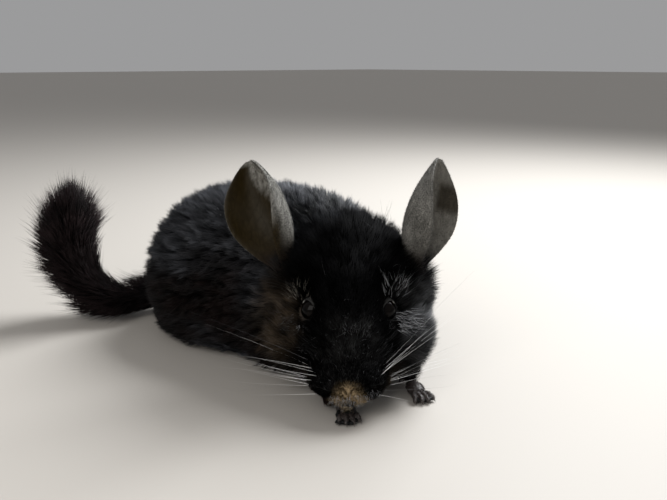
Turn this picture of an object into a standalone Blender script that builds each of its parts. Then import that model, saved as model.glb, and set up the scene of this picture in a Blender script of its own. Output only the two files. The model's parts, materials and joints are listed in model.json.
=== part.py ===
# A black chinchilla, life size, crouched low with its head turned to its right.
# The solids reach out to the tips of the coat. The trunk points along -Y, +Z is up,
# and the origin is at the middle of the bounding box, on the floor.
import math

import bmesh
import bpy
import numpy as np
from mathutils import Matrix, Vector

CM = 0.01
GAP = 0.0003
# The fur stands this far off the head and the feet that lie in it
HEAD_CLEARANCE = 0.0013
FOOT_CLEARANCE = 0.0009

# All places and sizes below are in centimetres.
# The trunk with its fur, along Y: place, middle, half width, top, bottom.
# Its bottom is cut level just over the floor, where the fur spreads.
TRUNK_STATIONS = [
    (-7.2, 1.3, 0.5, 4.0, 2.8),
    (-6.6, 1.3, 1.7, 5.6, 1.2),
    (-5.2, 1.0, 2.9, 7.4, 0.0),
    (-3.0, 0.6, 3.9, 9.4, -1.1),
    (0.5, 0.2, 4.6, 9.8, -1.6),
    (4.5, 0.0, 5.3, 9.6, -1.9),
    (8.0, 0.0, 5.0, 8.7, -1.5),
    (10.3, 0.0, 3.4, 7.0, 0.8),
    (11.6, 0.0, 0.8, 5.0, 3.2),
]
BACK_ROUNDNESS = 2.2
BELLY_ROUNDNESS = 4.2
BELLY_HEIGHT = 0.12
SHOULDERS = {
    "right": ((-2.9, -1.8, 2.9), (1.8, 2.7, 3.1)),
    "left": ((3.3, -4.0, 3.3), (2.0, 2.7, 3.2)),
}
HAUNCH = ((3.3, 5.6, 3.4), (2.6, 4.2, 3.9))
# Rounded volumes that mark off the upper leg, the lower leg and the upper arm
THIGH_CUT = ((5.6, 5.9, 4.3), (3.7, 4.1, 3.0))
SHANK_CUT = ((5.6, 4.2, 0.2), (3.0, 4.1, 1.6))
UPPER_ARM_CUTS = {
    "right": ((-5.4, -1.7, 2.6), (3.3, 2.7, 2.9)),
    "left": ((5.6, -3.9, 2.9), (3.2, 2.7, 2.9)),
}
NECK_RADII = (3.3, 4.3)
NECK_START = (0.5, 4.6, -0.2)
NECK_END = (0.5, -1.4, 5.2)
# Each part of the trunk ends at this place along Y; the rump is what is left
TRUNK_CUTS = {"chest": -0.8, "abdomen": 5.4}
NECK_CUT = ((0.0, -3.4, 6.9), (4.0, 3.1, 3.4))

# The head frame: its origin is midway between the eyes, and its nose points along -Y
EYE_MIDPOINT = (-1.88, -6.64, 4.6)
HEAD_TURN = math.radians(-43)
HEAD_PITCH = math.radians(15)
# The head along its own Y: place, middle height, half width, up, down
HEAD_STATIONS = [
    (-3.62, -2.50, 0.70, 0.45, 0.50),
    (-3.40, -2.40, 1.15, 0.80, 0.75),
    (-2.8, -2.15, 1.50, 1.20, 1.05),
    (-1.8, -1.60, 1.78, 1.65, 1.50),
    (-0.95, -1.05, 2.02, 2.05, 2.05),
    (0.0, -0.55, 2.20, 2.35, 2.50),
    (1.3, -0.15, 2.85, 2.85, 2.90),
    (2.7, 0.20, 3.45, 3.15, 3.10),
    (4.2, 0.40, 3.50, 3.05, 3.00),
    (5.6, 0.40, 2.60, 2.30, 2.30),
    (6.2, 0.40, 0.90, 0.80, 0.80),
]
WHISKER_PAD = ((0.92, -2.45, -2.20), (1.15, 1.15, 0.95))
CHEEK = ((2.35, 0.95, -1.85), (2.05, 2.3, 1.75))
JOWL = ((1.55, -0.25, -1.95), (1.35, 1.60, 1.35))
RUFF = ((2.7, 2.7, -0.9), (1.85, 1.9, 2.5))
CHIN = ((0.0, -2.3, -2.75), (0.85, 1.1, 0.62))
JAW = ((0.0, -1.7, -3.4), (1.6, 2.0, 0.90))

EYE_RADIUS = 0.56
EYE_CENTRE = (1.72, 0.15, -0.12)
# The hollow in the short fur round each eye
ORBIT = ((2.17, -0.20, 0.10), (0.62, 0.62, 0.58))

EAR_LENGTH = 5.9
EAR_WALL = 0.09
EAR_GIRTH = 5.95
# Rows of points across the ear and along it
EAR_ROWS = (12, 9)
# Across the ear, the share of its girth that is back wall, fold and inner flap,
# and how far each turns at the root and at the tip, in degrees
EAR_SECTION = ((0.46, 42.0, 26.0), (0.24, 120.0, 82.0), (0.30, 24.0, 8.0))
# Where each ear stands in the head frame, its lean, its turn about its own length and how blunt its tip is
EARS = {
    "ear_right": ((-3.12, 2.0, 0.9), (-0.36, 0.50, 0.92), -35.0, 3.8),
    "ear_left": ((3.12, 2.0, 0.9), (0.25, 0.50, 0.92), -14.0, 2.5),
}

FOREARMS = {
    "right": [(-2.3, -3.6, 2.2), (-2.7, -5.6, 1.4), (-3.05, -7.2, 0.8)],
    "left": [(2.3, -4.6, 2.4), (1.8, -6.4, 1.5), (1.1, -8.1, 0.8)],
}
FOREARM_RADII = [1.35, 1.05, 0.7]
# The wrist on the floor and the way the digits point, as an angle about Z
FOREPAWS = {"right": ((-3.0, -7.5), -32.0), "left": ((0.95, -8.3), -22.0)}
FOREPAW_LENGTH = 1.75
FOREPAW_WIDTH = 1.05
HINDPAWS = {"right": ((-3.0, 8.7), -3.0), "left": ((3.0, 8.7), 3.0)}
HINDPAW_LENGTH = 5.6
HINDPAW_WIDTH = 1.35
# The radius of a digit at its knuckle, middle and tip, as a share of the foot's width
DIGIT_RADII = (0.165, 0.15, 0.10)

TAIL_PATH = [
    (0.1, 10.2, 3.0),
    (-2.2, 10.6, 1.9),
    (-4.5, 11.2, 1.30),
    (-6.1, 12.1, 1.70),
    (-7.0, 12.9, 2.9),
    (-7.5, 13.4, 4.7),
    (-7.3, 13.3, 6.4),
    (-7.2, 13.2, 7.7),
    (-7.1, 13.1, 8.4),
]
TAIL_RADII = [1.3, 1.35, 1.4, 1.55, 1.75, 1.9, 1.85, 1.35, 0.45]
TAIL_PARTS = ("tail_base", "tail_middle", "tail_tip")
# The rings, counted from the root, at which the lengths of the tail begin and end
TAIL_AROUND = 14
TAIL_CUTS = (0, 6, 11, 18)

# For each fused form, the voxel in centimetres, the rounds of smoothing and the share of faces kept
HEAD_FUSING = (0.22, 12, 0.032)
COAT_FUSING = (0.42, 9, 0.070)
# The voxel of a foot is this share of its width
PAW_VOXEL = 0.085
FOREPAW_KEPT = 0.11
HINDPAW_KEPT = 0.075
# A plainer copy of the head and of each foot hollows the fur that it lies in
HEAD_BED_SHARE = 0.7
FOOT_BED_SHARE = 0.75

# Base colour, roughness
FUR_BLACK = ((0.010, 0.009, 0.010), 0.75)
FUR_BROWN = ((0.030, 0.024, 0.020), 0.75)
EAR_GREY = ((0.16, 0.15, 0.13), 0.70)
PAW_GREY = ((0.06, 0.06, 0.065), 0.65)
EYE_BLACK = ((0.004, 0.003, 0.003), 0.08)


def clear_scene():
    for thing in list(bpy.data.objects):
        bpy.data.objects.remove(thing)


def smooth_stations(stations, count):
    """Evenly spaced rows read from a Catmull-Rom curve through the stations."""
    rows = np.array(stations, float)
    ends = np.vstack([2 * rows[0] - rows[1], rows, 2 * rows[-1] - rows[-2]])
    result = []
    for place in np.linspace(0, len(rows) - 1, count):
        i = min(int(place), len(rows) - 2)
        t = place - i
        a, b, c, d = ends[i : i + 4]
        result.append(
            0.5 * (2 * b + (c - a) * t + (2 * a - 5 * b + 4 * c - d) * t**2 + (3 * b - a - 3 * c + d) * t**3)
        )
    return np.array(result)


def placed_mesh(name, form):
    """Turn an edited form into an object in the scene."""
    mesh = bpy.data.meshes.new(name)
    form.to_mesh(mesh)
    form.free()
    thing = bpy.data.objects.new(name, mesh)
    bpy.context.scene.collection.objects.link(thing)
    return thing


def face_outward(form):
    """Turn round a closed form whose faces look inward."""
    if form.calc_volume(signed=True) < 0:
        bmesh.ops.reverse_faces(form, faces=form.faces)


def object_from(name, verts, faces):
    form = bmesh.new()
    points = [form.verts.new(v) for v in verts]
    for face in faces:
        form.faces.new([points[i] for i in face])
    bmesh.ops.recalc_face_normals(form, faces=form.faces)
    face_outward(form)
    return placed_mesh(name, form)


def skin_rings(name, rings):
    """A closed form over a row of rings, with a flat cap at each end."""
    around = len(rings[0])
    verts = [point for ring in rings for point in ring]
    faces = []
    for i in range(len(rings) - 1):
        for j in range(around):
            k = (j + 1) % around
            faces.append((i * around + j, i * around + k, (i + 1) * around + k, (i + 1) * around + j))
    faces.append(tuple(range(around)))
    faces.append(tuple(range((len(rings) - 1) * around, len(rings) * around)))
    return object_from(name, verts, faces)


def oval(half_width, up, down, around, top_power=2.0, bottom_power=2.0):
    """Points round an oval of unequal top and bottom; a higher power squares it."""
    points = []
    for j in range(around):
        angle = 2 * math.pi * j / around
        c, s = math.cos(angle), math.sin(angle)
        power = top_power if s > 0 else bottom_power
        x = math.copysign(abs(c) ** (2 / power), c) * half_width
        z = math.copysign(abs(s) ** (2 / power), s) * (up if s > 0 else down)
        points.append((x, z))
    return points


def rings_along(path, radii, count, around, flatness=1.0):
    """Rings square to a smooth path, each with the way it faces."""
    rows = smooth_stations([(*p, r) for p, r in zip(path, radii)], count)
    side = Vector((0, 0, 1)).cross(Vector(rows[1][:3] - rows[0][:3])).normalized()
    rings = []
    for i, row in enumerate(rows):
        ahead = Vector(rows[min(i + 1, count - 1)][:3] - rows[max(i - 1, 0)][:3]).normalized()
        side = (side - ahead * side.dot(ahead)).normalized()
        up = ahead.cross(side)
        ring = []
        for x, z in oval(row[3], row[3] * flatness, row[3] * flatness, around):
            ring.append((Vector(row[:3]) + side * x + up * z) * CM)
        rings.append((ring, ahead))
    return rings


def tube(name, path, radii, count, around, flatness=1.0):
    return skin_rings(name, [ring for ring, _ in rings_along(path, radii, count, around, flatness)])


def ball(name, centre, radii, frame=None, segments=16, rings=10):
    form = bmesh.new()
    bmesh.ops.create_uvsphere(form, u_segments=segments, v_segments=rings, radius=1.0)
    place = Matrix.Translation(Vector(centre) * CM) @ Matrix.Diagonal((*[r * CM for r in radii], 1))
    bmesh.ops.transform(form, matrix=(frame or Matrix()) @ place, verts=form.verts)
    return placed_mesh(name, form)


def box(name, low, high):
    form = bmesh.new()
    bmesh.ops.create_cube(form, size=1.0)
    low, high = Vector(low) * CM, Vector(high) * CM
    place = Matrix.Translation((low + high) / 2) @ Matrix.Diagonal((*(high - low), 1))
    bmesh.ops.transform(form, matrix=place, verts=form.verts)
    return placed_mesh(name, form)


def settle(thing):
    """Replace an object's mesh by what its modifiers make of it."""
    bpy.context.view_layer.update()
    seen = thing.evaluated_get(bpy.context.evaluated_depsgraph_get())
    mesh = bpy.data.meshes.new_from_object(seen)
    thing.modifiers.clear()
    thing.data = mesh
    return thing


def remove(*things):
    for thing in things:
        bpy.data.objects.remove(thing)


def fuse(name, things, voxel, smoothing, keep):
    """One smooth closed form round several that overlap, thinned to a share of its faces."""
    form = bmesh.new()
    for thing in things:
        form.from_mesh(thing.data)
    remove(*things)
    whole = placed_mesh(name, form)
    remesh = whole.modifiers.new("fuse", "REMESH")
    remesh.mode = "VOXEL"
    remesh.voxel_size = voxel * CM
    soft = whole.modifiers.new("soften", "SMOOTH")
    soft.factor = 0.5
    soft.iterations = smoothing
    thin = whole.modifiers.new("thin", "DECIMATE")
    thin.ratio = keep
    return settle(whole)


def combine(thing, other, operation, crossing=True):
    """Cut or join two forms; a thinned form may cross itself in places, an ear doesn't."""
    cut = thing.modifiers.new("combine", "BOOLEAN")
    cut.operation = operation
    cut.solver = "EXACT"
    cut.use_self = crossing
    cut.object = other
    return settle(thing)


def copy_of(thing, name):
    twin = bpy.data.objects.new(name, thing.data.copy())
    bpy.context.scene.collection.objects.link(twin)
    return twin


def grown(thing, by=GAP):
    """A copy whose skin stands out by a thin gap."""
    twin = copy_of(thing, thing.name + "_grown")
    normals = [v.normal.copy() for v in twin.data.vertices]
    for vert, normal in zip(twin.data.vertices, normals):
        vert.co += normal * by
    return twin


def clear_of(thing, *others, crossing=True):
    """Cut a thin clearance round each of the others out of a form."""
    for other in others:
        cutter = grown(other)
        combine(thing, cutter, "DIFFERENCE", crossing)
        remove(cutter)
    return thing


def drop_crumbs(thing):
    """Keep the largest body of a form that a cut has broken up."""
    form = bmesh.new()
    form.from_mesh(thing.data)
    bodies = []
    unseen = set(form.verts)
    while unseen:
        body = {unseen.pop()}
        edge_of_search = list(body)
        while edge_of_search:
            vert = edge_of_search.pop()
            for edge in vert.link_edges:
                other = edge.other_vert(vert)
                if other in unseen:
                    unseen.discard(other)
                    body.add(other)
                    edge_of_search.append(other)
        bodies.append(body)
    bodies.sort(key=len)
    for crumb in bodies[:-1]:
        bmesh.ops.delete(form, geom=list(crumb), context="VERTS")
    face_outward(form)
    form.to_mesh(thing.data)
    form.free()


def bed_for(thing, share, clearance):
    """A plainer, looser copy of a form, to hollow out the fur that it lies in."""
    bed = copy_of(thing, thing.name + "_bed")
    thin = bed.modifiers.new("thin", "DECIMATE")
    thin.ratio = share
    settle(bed)
    looser = grown(bed, clearance)
    remove(bed)
    return looser


def part_out(whole, cutter, name):
    """Take what lies inside the cutter as a part, and leave the rest with a thin cut."""
    piece = combine(copy_of(whole, name), cutter, "INTERSECT")
    clear_of(whole, cutter)
    remove(cutter)
    return piece


def mirrored(place_and_radii, side):
    (x, y, z), radii = place_and_radii
    return (x * side, y, z), radii


def head_frame():
    turn = Matrix.Rotation(HEAD_TURN, 4, "Z") @ Matrix.Rotation(HEAD_PITCH, 4, "X")
    return Matrix.Translation(Vector(EYE_MIDPOINT) * CM) @ turn


def in_head(point):
    return head_frame() @ (Vector(point) * CM)


def make_head_form():
    frame = head_frame()
    rings = []
    for y, middle, half, up, down in smooth_stations(HEAD_STATIONS, 30):
        rings.append([frame @ (Vector((x, y, middle + z)) * CM) for x, z in oval(half, up, down, 32)])
    forms = [skin_rings("skull", rings)]
    for side in (-1, 1):
        forms.append(ball("pad", *mirrored(WHISKER_PAD, side), frame))
        forms.append(ball("jowl", *mirrored(JOWL, side), frame))
        forms.append(ball("cheek", *mirrored(CHEEK, side), frame))
        forms.append(ball("ruff", *mirrored(RUFF, side), frame))
    forms.append(ball("chin", *CHIN, frame))
    return fuse("head", forms, *HEAD_FUSING)


def make_coat_form():
    rings = []
    for y, middle, half, top, bottom in smooth_stations(TRUNK_STATIONS, 34):
        level = (top + bottom) / 2
        rise = (top - bottom) / 2
        outline = oval(half, rise, rise, 32, BACK_ROUNDNESS, BELLY_ROUNDNESS)
        rings.append([Vector((middle + x, y, level + z)) * CM for x, z in outline])
    forms = [skin_rings("trunk", rings)]
    start = in_head(NECK_START) / CM
    end = Vector(NECK_END)
    forms.append(tube("neck_form", [start, start.lerp(end, 0.5), end], [NECK_RADII[0], 3.9, NECK_RADII[1]], 8, 28))
    forms += [ball("shoulder", *shoulder) for shoulder in SHOULDERS.values()]
    forms += [ball("haunch", *mirrored(HAUNCH, side)) for side in (-1, 1)]
    coat = fuse("coat", forms, *COAT_FUSING)
    underside = box("underside", (-12, -14, -4), (12, 16, BELLY_HEIGHT))
    combine(coat, underside, "DIFFERENCE")
    remove(underside)
    return coat


def ear_girth(t, bluntness):
    """How far it is round the ear at a share of its length: a narrow stem that widens to a broad leaf."""
    return EAR_GIRTH * (0.10 + 2.95 * t - 2.65 * t**2) * (1 - t**bluntness) ** 0.5 + 0.10


def make_ear(name, root, way, spin, bluntness):
    """A leaf of skin, curled about its length; its section turns most near the inner rim."""
    across, along = EAR_ROWS
    side = -1 if name.endswith("right") else 1
    frame = head_frame()
    up = (frame.to_3x3() @ Vector(way)).normalized()
    start = in_head(root)
    front = Matrix.Rotation(HEAD_TURN + side * math.radians(spin), 3, "Z") @ Vector((0, -1, 0))
    front = (front - up * front.dot(up)).normalized()
    out = front.cross(up) * -side
    sheets = []
    for offset in (EAR_WALL / 2, -EAR_WALL / 2):
        rows = []
        for i in range(along):
            t = math.sin(0.5 * math.pi * i / (along - 1))
            points = curled_section(ear_girth(t, bluntness), t, across, offset)
            rows.append([start + (up * (t * EAR_LENGTH) + out * x + front * y) * CM for x, y in points])
        sheets.append(rows)
    outer, inner = sheets
    verts = [p for rows in (outer, inner) for row in rows for p in row]
    total = across * along

    def at(layer, i, j):
        return layer * total + i * across + j

    faces = []
    for i in range(along - 1):
        for j in range(across - 1):
            faces.append((at(0, i, j), at(0, i + 1, j), at(0, i + 1, j + 1), at(0, i, j + 1)))
            faces.append((at(1, i, j), at(1, i, j + 1), at(1, i + 1, j + 1), at(1, i + 1, j)))
        for j in (0, across - 1):
            faces.append((at(0, i, j), at(1, i, j), at(1, i + 1, j), at(0, i + 1, j)))
    for j in range(across - 1):
        for i in (0, along - 1):
            faces.append((at(0, i, j), at(0, i, j + 1), at(1, i, j + 1), at(1, i, j)))
    return object_from(name, verts, faces)


def curled_section(width, t, count, offset):
    """Points across the ear at a share t of its length, from the outer rim to the inner one."""
    steps = np.linspace(0, 1, count)
    shares = np.cumsum([0.0] + [share for share, _, _ in EAR_SECTION])
    turns = np.cumsum([0.0] + [root + (tip - root) * t for _, root, tip in EAR_SECTION])
    heading = np.radians(np.interp(steps, shares, turns))
    length = width / (count - 1)
    middle = (heading[:-1] + heading[1:]) / 2
    x = np.concatenate([[0], np.cumsum(np.cos(middle) * length)])
    y = np.concatenate([[0], np.cumsum(np.sin(middle) * length)])
    x = x - x.mean() - np.sin(heading) * offset
    y = y - y.mean() + np.cos(heading) * offset
    return list(zip(-x, y))


def make_paw(name, wrist, angle, length, width, digits, digit_share, keep):
    """A flat foot: a low pad and a fan of digits, all on the floor."""
    turn = Matrix.Rotation(math.radians(angle), 3, "Z")
    thickness = width * 0.30
    palm_length = length * (1 - digit_share)

    def placed(x, y, z):
        return Vector((*wrist, 0)) + turn @ Vector((x, y, 0)) + Vector((0, 0, z))

    forms = [
        tube(
            "palm",
            [placed(0, 0, thickness * 1.1), placed(0, -palm_length * 0.55, thickness), placed(0, -palm_length, 0.24)],
            [width * 0.36, width * 0.47, width * 0.42],
            7,
            16,
            0.62,
        )
    ]
    for i in range(digits):
        fan = (i - (digits - 1) / 2) / ((digits - 1) / 2)
        reach = length * (1 - 0.10 * fan**2)
        knuckle = placed(fan * width * 0.34, -palm_length * 0.85, 0.26)
        middle = placed(fan * width * 0.43, -(palm_length + reach) / 2, 0.27)
        tip = placed(fan * width * 0.50, -reach, 0.12)
        forms.append(tube("digit", [knuckle, middle, tip], [width * share for share in DIGIT_RADII], 6, 10))
    paw = fuse(name, forms, width * PAW_VOXEL, 2, keep)
    floor = box("floor", (-12, -14, -4), (12, 16, 0.0))
    combine(paw, floor, "DIFFERENCE")
    remove(floor)
    return paw


def make_tail():
    """Three lengths of one brush, parted by thin cuts square to it."""
    rings = rings_along(TAIL_PATH, TAIL_RADII, TAIL_CUTS[-1] + 1, TAIL_AROUND)
    parts = []
    for name, first, last in zip(TAIL_PARTS, TAIL_CUTS[:-1], TAIL_CUTS[1:]):
        stretch = [list(ring) for ring, _ in rings[first : last + 1]]
        if first:
            stretch[0] = [point + rings[first][1] * GAP for point in stretch[0]]
        parts.append(skin_rings(name, stretch))
    floor = box("floor", (-16, -14, -4), (12, 18, 0.0))
    combine(parts[0], floor, "DIFFERENCE")
    remove(floor)
    return parts


def finish(thing, look):
    colour, roughness = look
    material = bpy.data.materials.new(thing.name)
    material.use_nodes = True
    shader = material.node_tree.nodes["Principled BSDF"]
    shader.inputs["Base Color"].default_value = (*colour, 1)
    shader.inputs["Roughness"].default_value = roughness
    shader.inputs["Metallic"].default_value = 0.0
    thing.data.materials.clear()
    thing.data.materials.append(material)
    thing.data.shade_smooth()
    thing.data.set_sharp_from_angle(angle=math.radians(50))


def divide_coat(coat):
    """Part the coated trunk into the regions that a person would name."""
    pieces = {}
    for side, sign in (("right", -1), ("left", 1)):
        cuts = {"shank": mirrored(SHANK_CUT, sign), "thigh": mirrored(THIGH_CUT, sign)}
        cuts["upper_arm"] = UPPER_ARM_CUTS[side]
        for region, cut in cuts.items():
            name = f"{region}_{side}"
            pieces[name] = part_out(coat, ball("cutter", *cut), name)
    pieces["neck"] = part_out(coat, ball("cutter", *NECK_CUT), "neck")
    for name, limit in TRUNK_CUTS.items():
        pieces[name] = part_out(coat, box("cutter", (-12, -14, -4), (12, limit, 14)), name)
    coat.name = "rump"
    pieces["rump"] = coat
    return pieces


def touching(thing, other):
    """Whether two boxes round the forms come within a gap of each other."""
    low, high = corners(thing)
    other_low, other_high = corners(other)
    return all(low[k] - GAP < other_high[k] and other_low[k] - GAP < high[k] for k in range(3))


def corners(thing):
    places = np.array([tuple(v.co) for v in thing.data.vertices])
    return places.min(axis=0), places.max(axis=0)


def centre_on_floor(things):
    """Move all the parts so that their common box stands on the origin."""
    boxes = [corners(thing) for thing in things]
    low = np.min([low for low, _ in boxes], axis=0)
    high = np.max([high for _, high in boxes], axis=0)
    base = Vector(((low[0] + high[0]) / 2, (low[1] + high[1]) / 2, low[2]))
    for thing in things:
        thing.data.transform(Matrix.Translation(-base))


def build():
    clear_scene()
    looks = {}
    head = make_head_form()
    head_bed = bed_for(head, HEAD_BED_SHARE, HEAD_CLEARANCE)
    for name, side in (("eye_right", -1), ("eye_left", 1)):
        centre = (EYE_CENTRE[0] * side, *EYE_CENTRE[1:])
        eye = ball(name, centre, (EYE_RADIUS,) * 3, head_frame(), 12, 8)
        clear_of(head, eye)
        looks[eye] = EYE_BLACK
        orbit = ball("orbit", *mirrored(ORBIT, side), head_frame())
        combine(head, orbit, "DIFFERENCE")
        remove(orbit)
    jaw = part_out(head, ball("jaw_cutter", *JAW, head_frame()), "lower_jaw")
    looks[head] = FUR_BLACK
    looks[jaw] = FUR_BROWN

    coat = make_coat_form()
    ears = []
    for name, place in EARS.items():
        ear = make_ear(name, *place)
        clear_of(ear, head, coat, crossing=False)
        drop_crumbs(ear)
        looks[ear] = EAR_GREY
    tail = make_tail()
    clear_of(tail[0], coat)
    for part in tail:
        looks[part] = FUR_BLACK

    feet = []
    for side, (wrist, angle) in FOREPAWS.items():
        feet.append(make_paw(f"forepaw_{side}", wrist, angle, FOREPAW_LENGTH, FOREPAW_WIDTH, 4, 0.42, FOREPAW_KEPT))
    for side, (heel, angle) in HINDPAWS.items():
        feet.append(make_paw(f"hind_foot_{side}", heel, angle, HINDPAW_LENGTH, HINDPAW_WIDTH, 3, 0.26, HINDPAW_KEPT))
    beds = [bed_for(foot, FOOT_BED_SHARE, FOOT_CLEARANCE) for foot in feet]
    for foot in feet:
        looks[foot] = PAW_GREY
    for paw, (side, path) in zip(feet[:2], FOREARMS.items()):
        forearm = tube(f"forearm_{side}", path, FOREARM_RADII, 6, 12)
        clear_of(forearm, head, jaw, paw)
        beds.append(grown(forearm))
        looks[forearm] = FUR_BLACK
    beds.insert(0, head_bed)

    for piece in divide_coat(coat).values():
        for bed in beds:
            if touching(piece, bed):
                combine(piece, bed, "DIFFERENCE")
        drop_crumbs(piece)
        looks[piece] = FUR_BLACK
    remove(*beds)
    centre_on_floor(looks)
    for thing, look in looks.items():
        finish(thing, look)


build()
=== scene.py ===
# %% [markdown]
# # A black chinchilla, life size
# The animal crouches low with its head turned to its right and lowered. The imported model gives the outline
# of its coat, out to the tips of the hair. This script makes what the eye sees: a skin that lies inside
# that outline, the fur that grows from it, the ears, eyes, nose, feet, claws and whiskers.

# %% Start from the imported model
import json
import math
from functools import partial

import bmesh
import bpy
import numpy as np
from mathutils import Matrix, Vector, kdtree
from mathutils.bvhtree import BVHTree

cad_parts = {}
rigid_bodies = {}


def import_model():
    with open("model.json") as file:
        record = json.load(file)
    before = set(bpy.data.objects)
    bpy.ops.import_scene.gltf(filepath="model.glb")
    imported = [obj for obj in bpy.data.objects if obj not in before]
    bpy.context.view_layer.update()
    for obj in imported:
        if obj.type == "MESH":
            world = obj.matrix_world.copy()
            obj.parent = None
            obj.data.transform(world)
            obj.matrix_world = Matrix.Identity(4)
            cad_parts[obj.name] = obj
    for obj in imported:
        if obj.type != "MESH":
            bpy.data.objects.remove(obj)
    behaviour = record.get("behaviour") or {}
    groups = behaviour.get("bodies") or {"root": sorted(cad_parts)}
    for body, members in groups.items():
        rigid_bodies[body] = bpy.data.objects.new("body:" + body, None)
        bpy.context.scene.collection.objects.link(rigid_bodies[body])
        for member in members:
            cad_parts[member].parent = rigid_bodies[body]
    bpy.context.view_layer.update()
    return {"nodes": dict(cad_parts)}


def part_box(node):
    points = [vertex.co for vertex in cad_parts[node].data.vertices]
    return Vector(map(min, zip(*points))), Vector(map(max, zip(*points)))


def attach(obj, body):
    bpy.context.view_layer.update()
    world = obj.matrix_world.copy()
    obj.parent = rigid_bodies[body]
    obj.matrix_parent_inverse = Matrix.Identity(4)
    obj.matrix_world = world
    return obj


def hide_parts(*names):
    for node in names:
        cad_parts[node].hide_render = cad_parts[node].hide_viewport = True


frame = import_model()
print("nodes:", len(frame["nodes"]))

# %% [markdown]
# ## Places
# The solids were drawn in centimetres about a point of their own, and then moved so that the whole animal
# stands over the origin. Both eyes are balls, so the middle between them gives that move back. A second
# frame belongs to the head: its origin lies between the eyes and its nose points along -Y.

# %% Frames for the body and the head
CM = 0.01
HEAD_TURN = math.radians(-43)
HEAD_PITCH = math.radians(15)
EYES_DRAWN_AT = Vector((-1.88, -6.64, 4.6)) * CM
EYE_CENTRE = Vector((1.72, 0.15, -0.12))
UP = Vector((0, 0, 1))


def middle_of(node):
    low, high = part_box(node)
    return (Vector(low) + Vector(high)) / 2


head_turning = Matrix.Rotation(HEAD_TURN, 4, "Z") @ Matrix.Rotation(HEAD_PITCH, 4, "X")
between_eyes = (middle_of("eye_left") + middle_of("eye_right")) / 2
head_origin = between_eyes - head_turning @ Vector((0, EYE_CENTRE.y, EYE_CENTRE.z)) * CM
HEAD = Matrix.Translation(head_origin) @ head_turning
# Its columns are the head's own axes
HEAD_AXES = np.array(head_turning.to_3x3())
MOVED = head_origin - EYES_DRAWN_AT


def placed(x, y, z):
    """A place given in the drawing's centimetres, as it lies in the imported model."""
    return Vector((x, y, z)) * CM + MOVED


def in_head(x, y, z):
    return HEAD @ (Vector((x, y, z)) * CM)


def head_coordinates(points):
    """Points of the model, in centimetres of the head's own frame."""
    return (points - np.array(HEAD.translation)) @ HEAD_AXES / CM


def mm(length):
    """Metres as millimetres, rounded for printing."""
    return round(float(length) * 1000, 1)


print("moved by", [mm(v) for v in MOVED], "mm")

# %% [markdown]
# ## Camera, floor and light
# The camera sits a little above the animal and looks down at it, as in the photograph. The light is a large
# soft window high behind the animal's left side and a weak wide one in front, so that black fur still
# shows its form against a pale floor.

# %% Camera
FOCAL_LENGTH, SENSOR_WIDTH = 37.8, 36
CAMERA_PLACE = (-23.9, -30.0, 16.2)
CAMERA_AZIMUTH = math.radians(-42)
CAMERA_PITCH = math.radians(15)


def link(name, data):
    thing = bpy.data.objects.new(name, data)
    bpy.context.scene.collection.objects.link(thing)
    return thing


camera_data = bpy.data.cameras.new("camera")
camera_data.lens, camera_data.sensor_width, camera_data.clip_start = FOCAL_LENGTH, SENSOR_WIDTH, 0.01
camera = link("camera", camera_data)
facing = Matrix.Rotation(CAMERA_AZIMUTH, 4, "Z") @ Matrix.Rotation(math.pi / 2 - CAMERA_PITCH, 4, "X")
camera.matrix_world = Matrix.Translation(placed(*CAMERA_PLACE)) @ facing
bpy.context.scene.camera = camera
print("camera at", [round(v, 3) for v in camera.matrix_world.translation])

# %% Floor
FLOOR_HALF = 12.0
FLOOR_COLOUR = (0.50, 0.47, 0.43)


def new_material(name, roughness, specular=0.5):
    """A material, its node tree and its shader."""
    material = bpy.data.materials.new(name)
    material.use_nodes = True
    shader = material.node_tree.nodes["Principled BSDF"]
    shader.inputs["Roughness"].default_value = roughness
    shader.inputs["Specular IOR Level"].default_value = specular
    return material, material.node_tree, shader


floor_mesh = bpy.data.meshes.new("floor")
square = [(x * FLOOR_HALF, y * FLOOR_HALF, 0) for x, y in ((-1, -1), (1, -1), (1, 1), (-1, 1))]
floor_mesh.from_pydata(square, [], [(0, 1, 2, 3)])
floor_material, _, shader = new_material("pale_floor", 0.6)
shader.inputs["Base Color"].default_value = (*FLOOR_COLOUR, 1)
floor_mesh.materials.append(floor_material)
floor = link("floor", floor_mesh)
print("floor:", 2 * FLOOR_HALF, "m wide")

# %% Lights
WORLD_COLOUR, WORLD_STRENGTH = (0.82, 0.82, 0.83), 0.40
LIGHT_TARGET = Vector((0, 0, 0.04))
# Place from the target in metres (to the right, away from the camera, up), width, power and colour
LIGHTS = {
    "window": ((0.50, 0.45, 0.75), 0.6, 18, (0.96, 0.98, 1.0)),
    "front_fill": ((-0.35, -0.80, 0.65), 0.7, 4, (1.0, 0.97, 0.93)),
}
away = Vector((-math.sin(CAMERA_AZIMUTH), math.cos(CAMERA_AZIMUTH), 0))
rightward = Vector((math.cos(CAMERA_AZIMUTH), math.sin(CAMERA_AZIMUTH), 0))
for name, ((right, far, above), width, power, colour) in LIGHTS.items():
    lamp = bpy.data.lights.new(name, "AREA")
    lamp.shape, lamp.size, lamp.energy, lamp.color = "SQUARE", width, power, colour
    offset = rightward * right + away * far + UP * above
    aim = (-offset).to_track_quat("-Z", "Y").to_matrix().to_4x4()
    link(name, lamp).matrix_world = Matrix.Translation(LIGHT_TARGET + offset) @ aim

world = bpy.data.worlds.new("studio")
world.use_nodes = True
background = world.node_tree.nodes["Background"]
background.inputs["Color"].default_value = (*WORLD_COLOUR, 1)
background.inputs["Strength"].default_value = WORLD_STRENGTH
bpy.context.scene.world = world
bpy.context.scene.view_settings.view_transform = "Standard"
print("lights:", list(LIGHTS))

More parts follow.
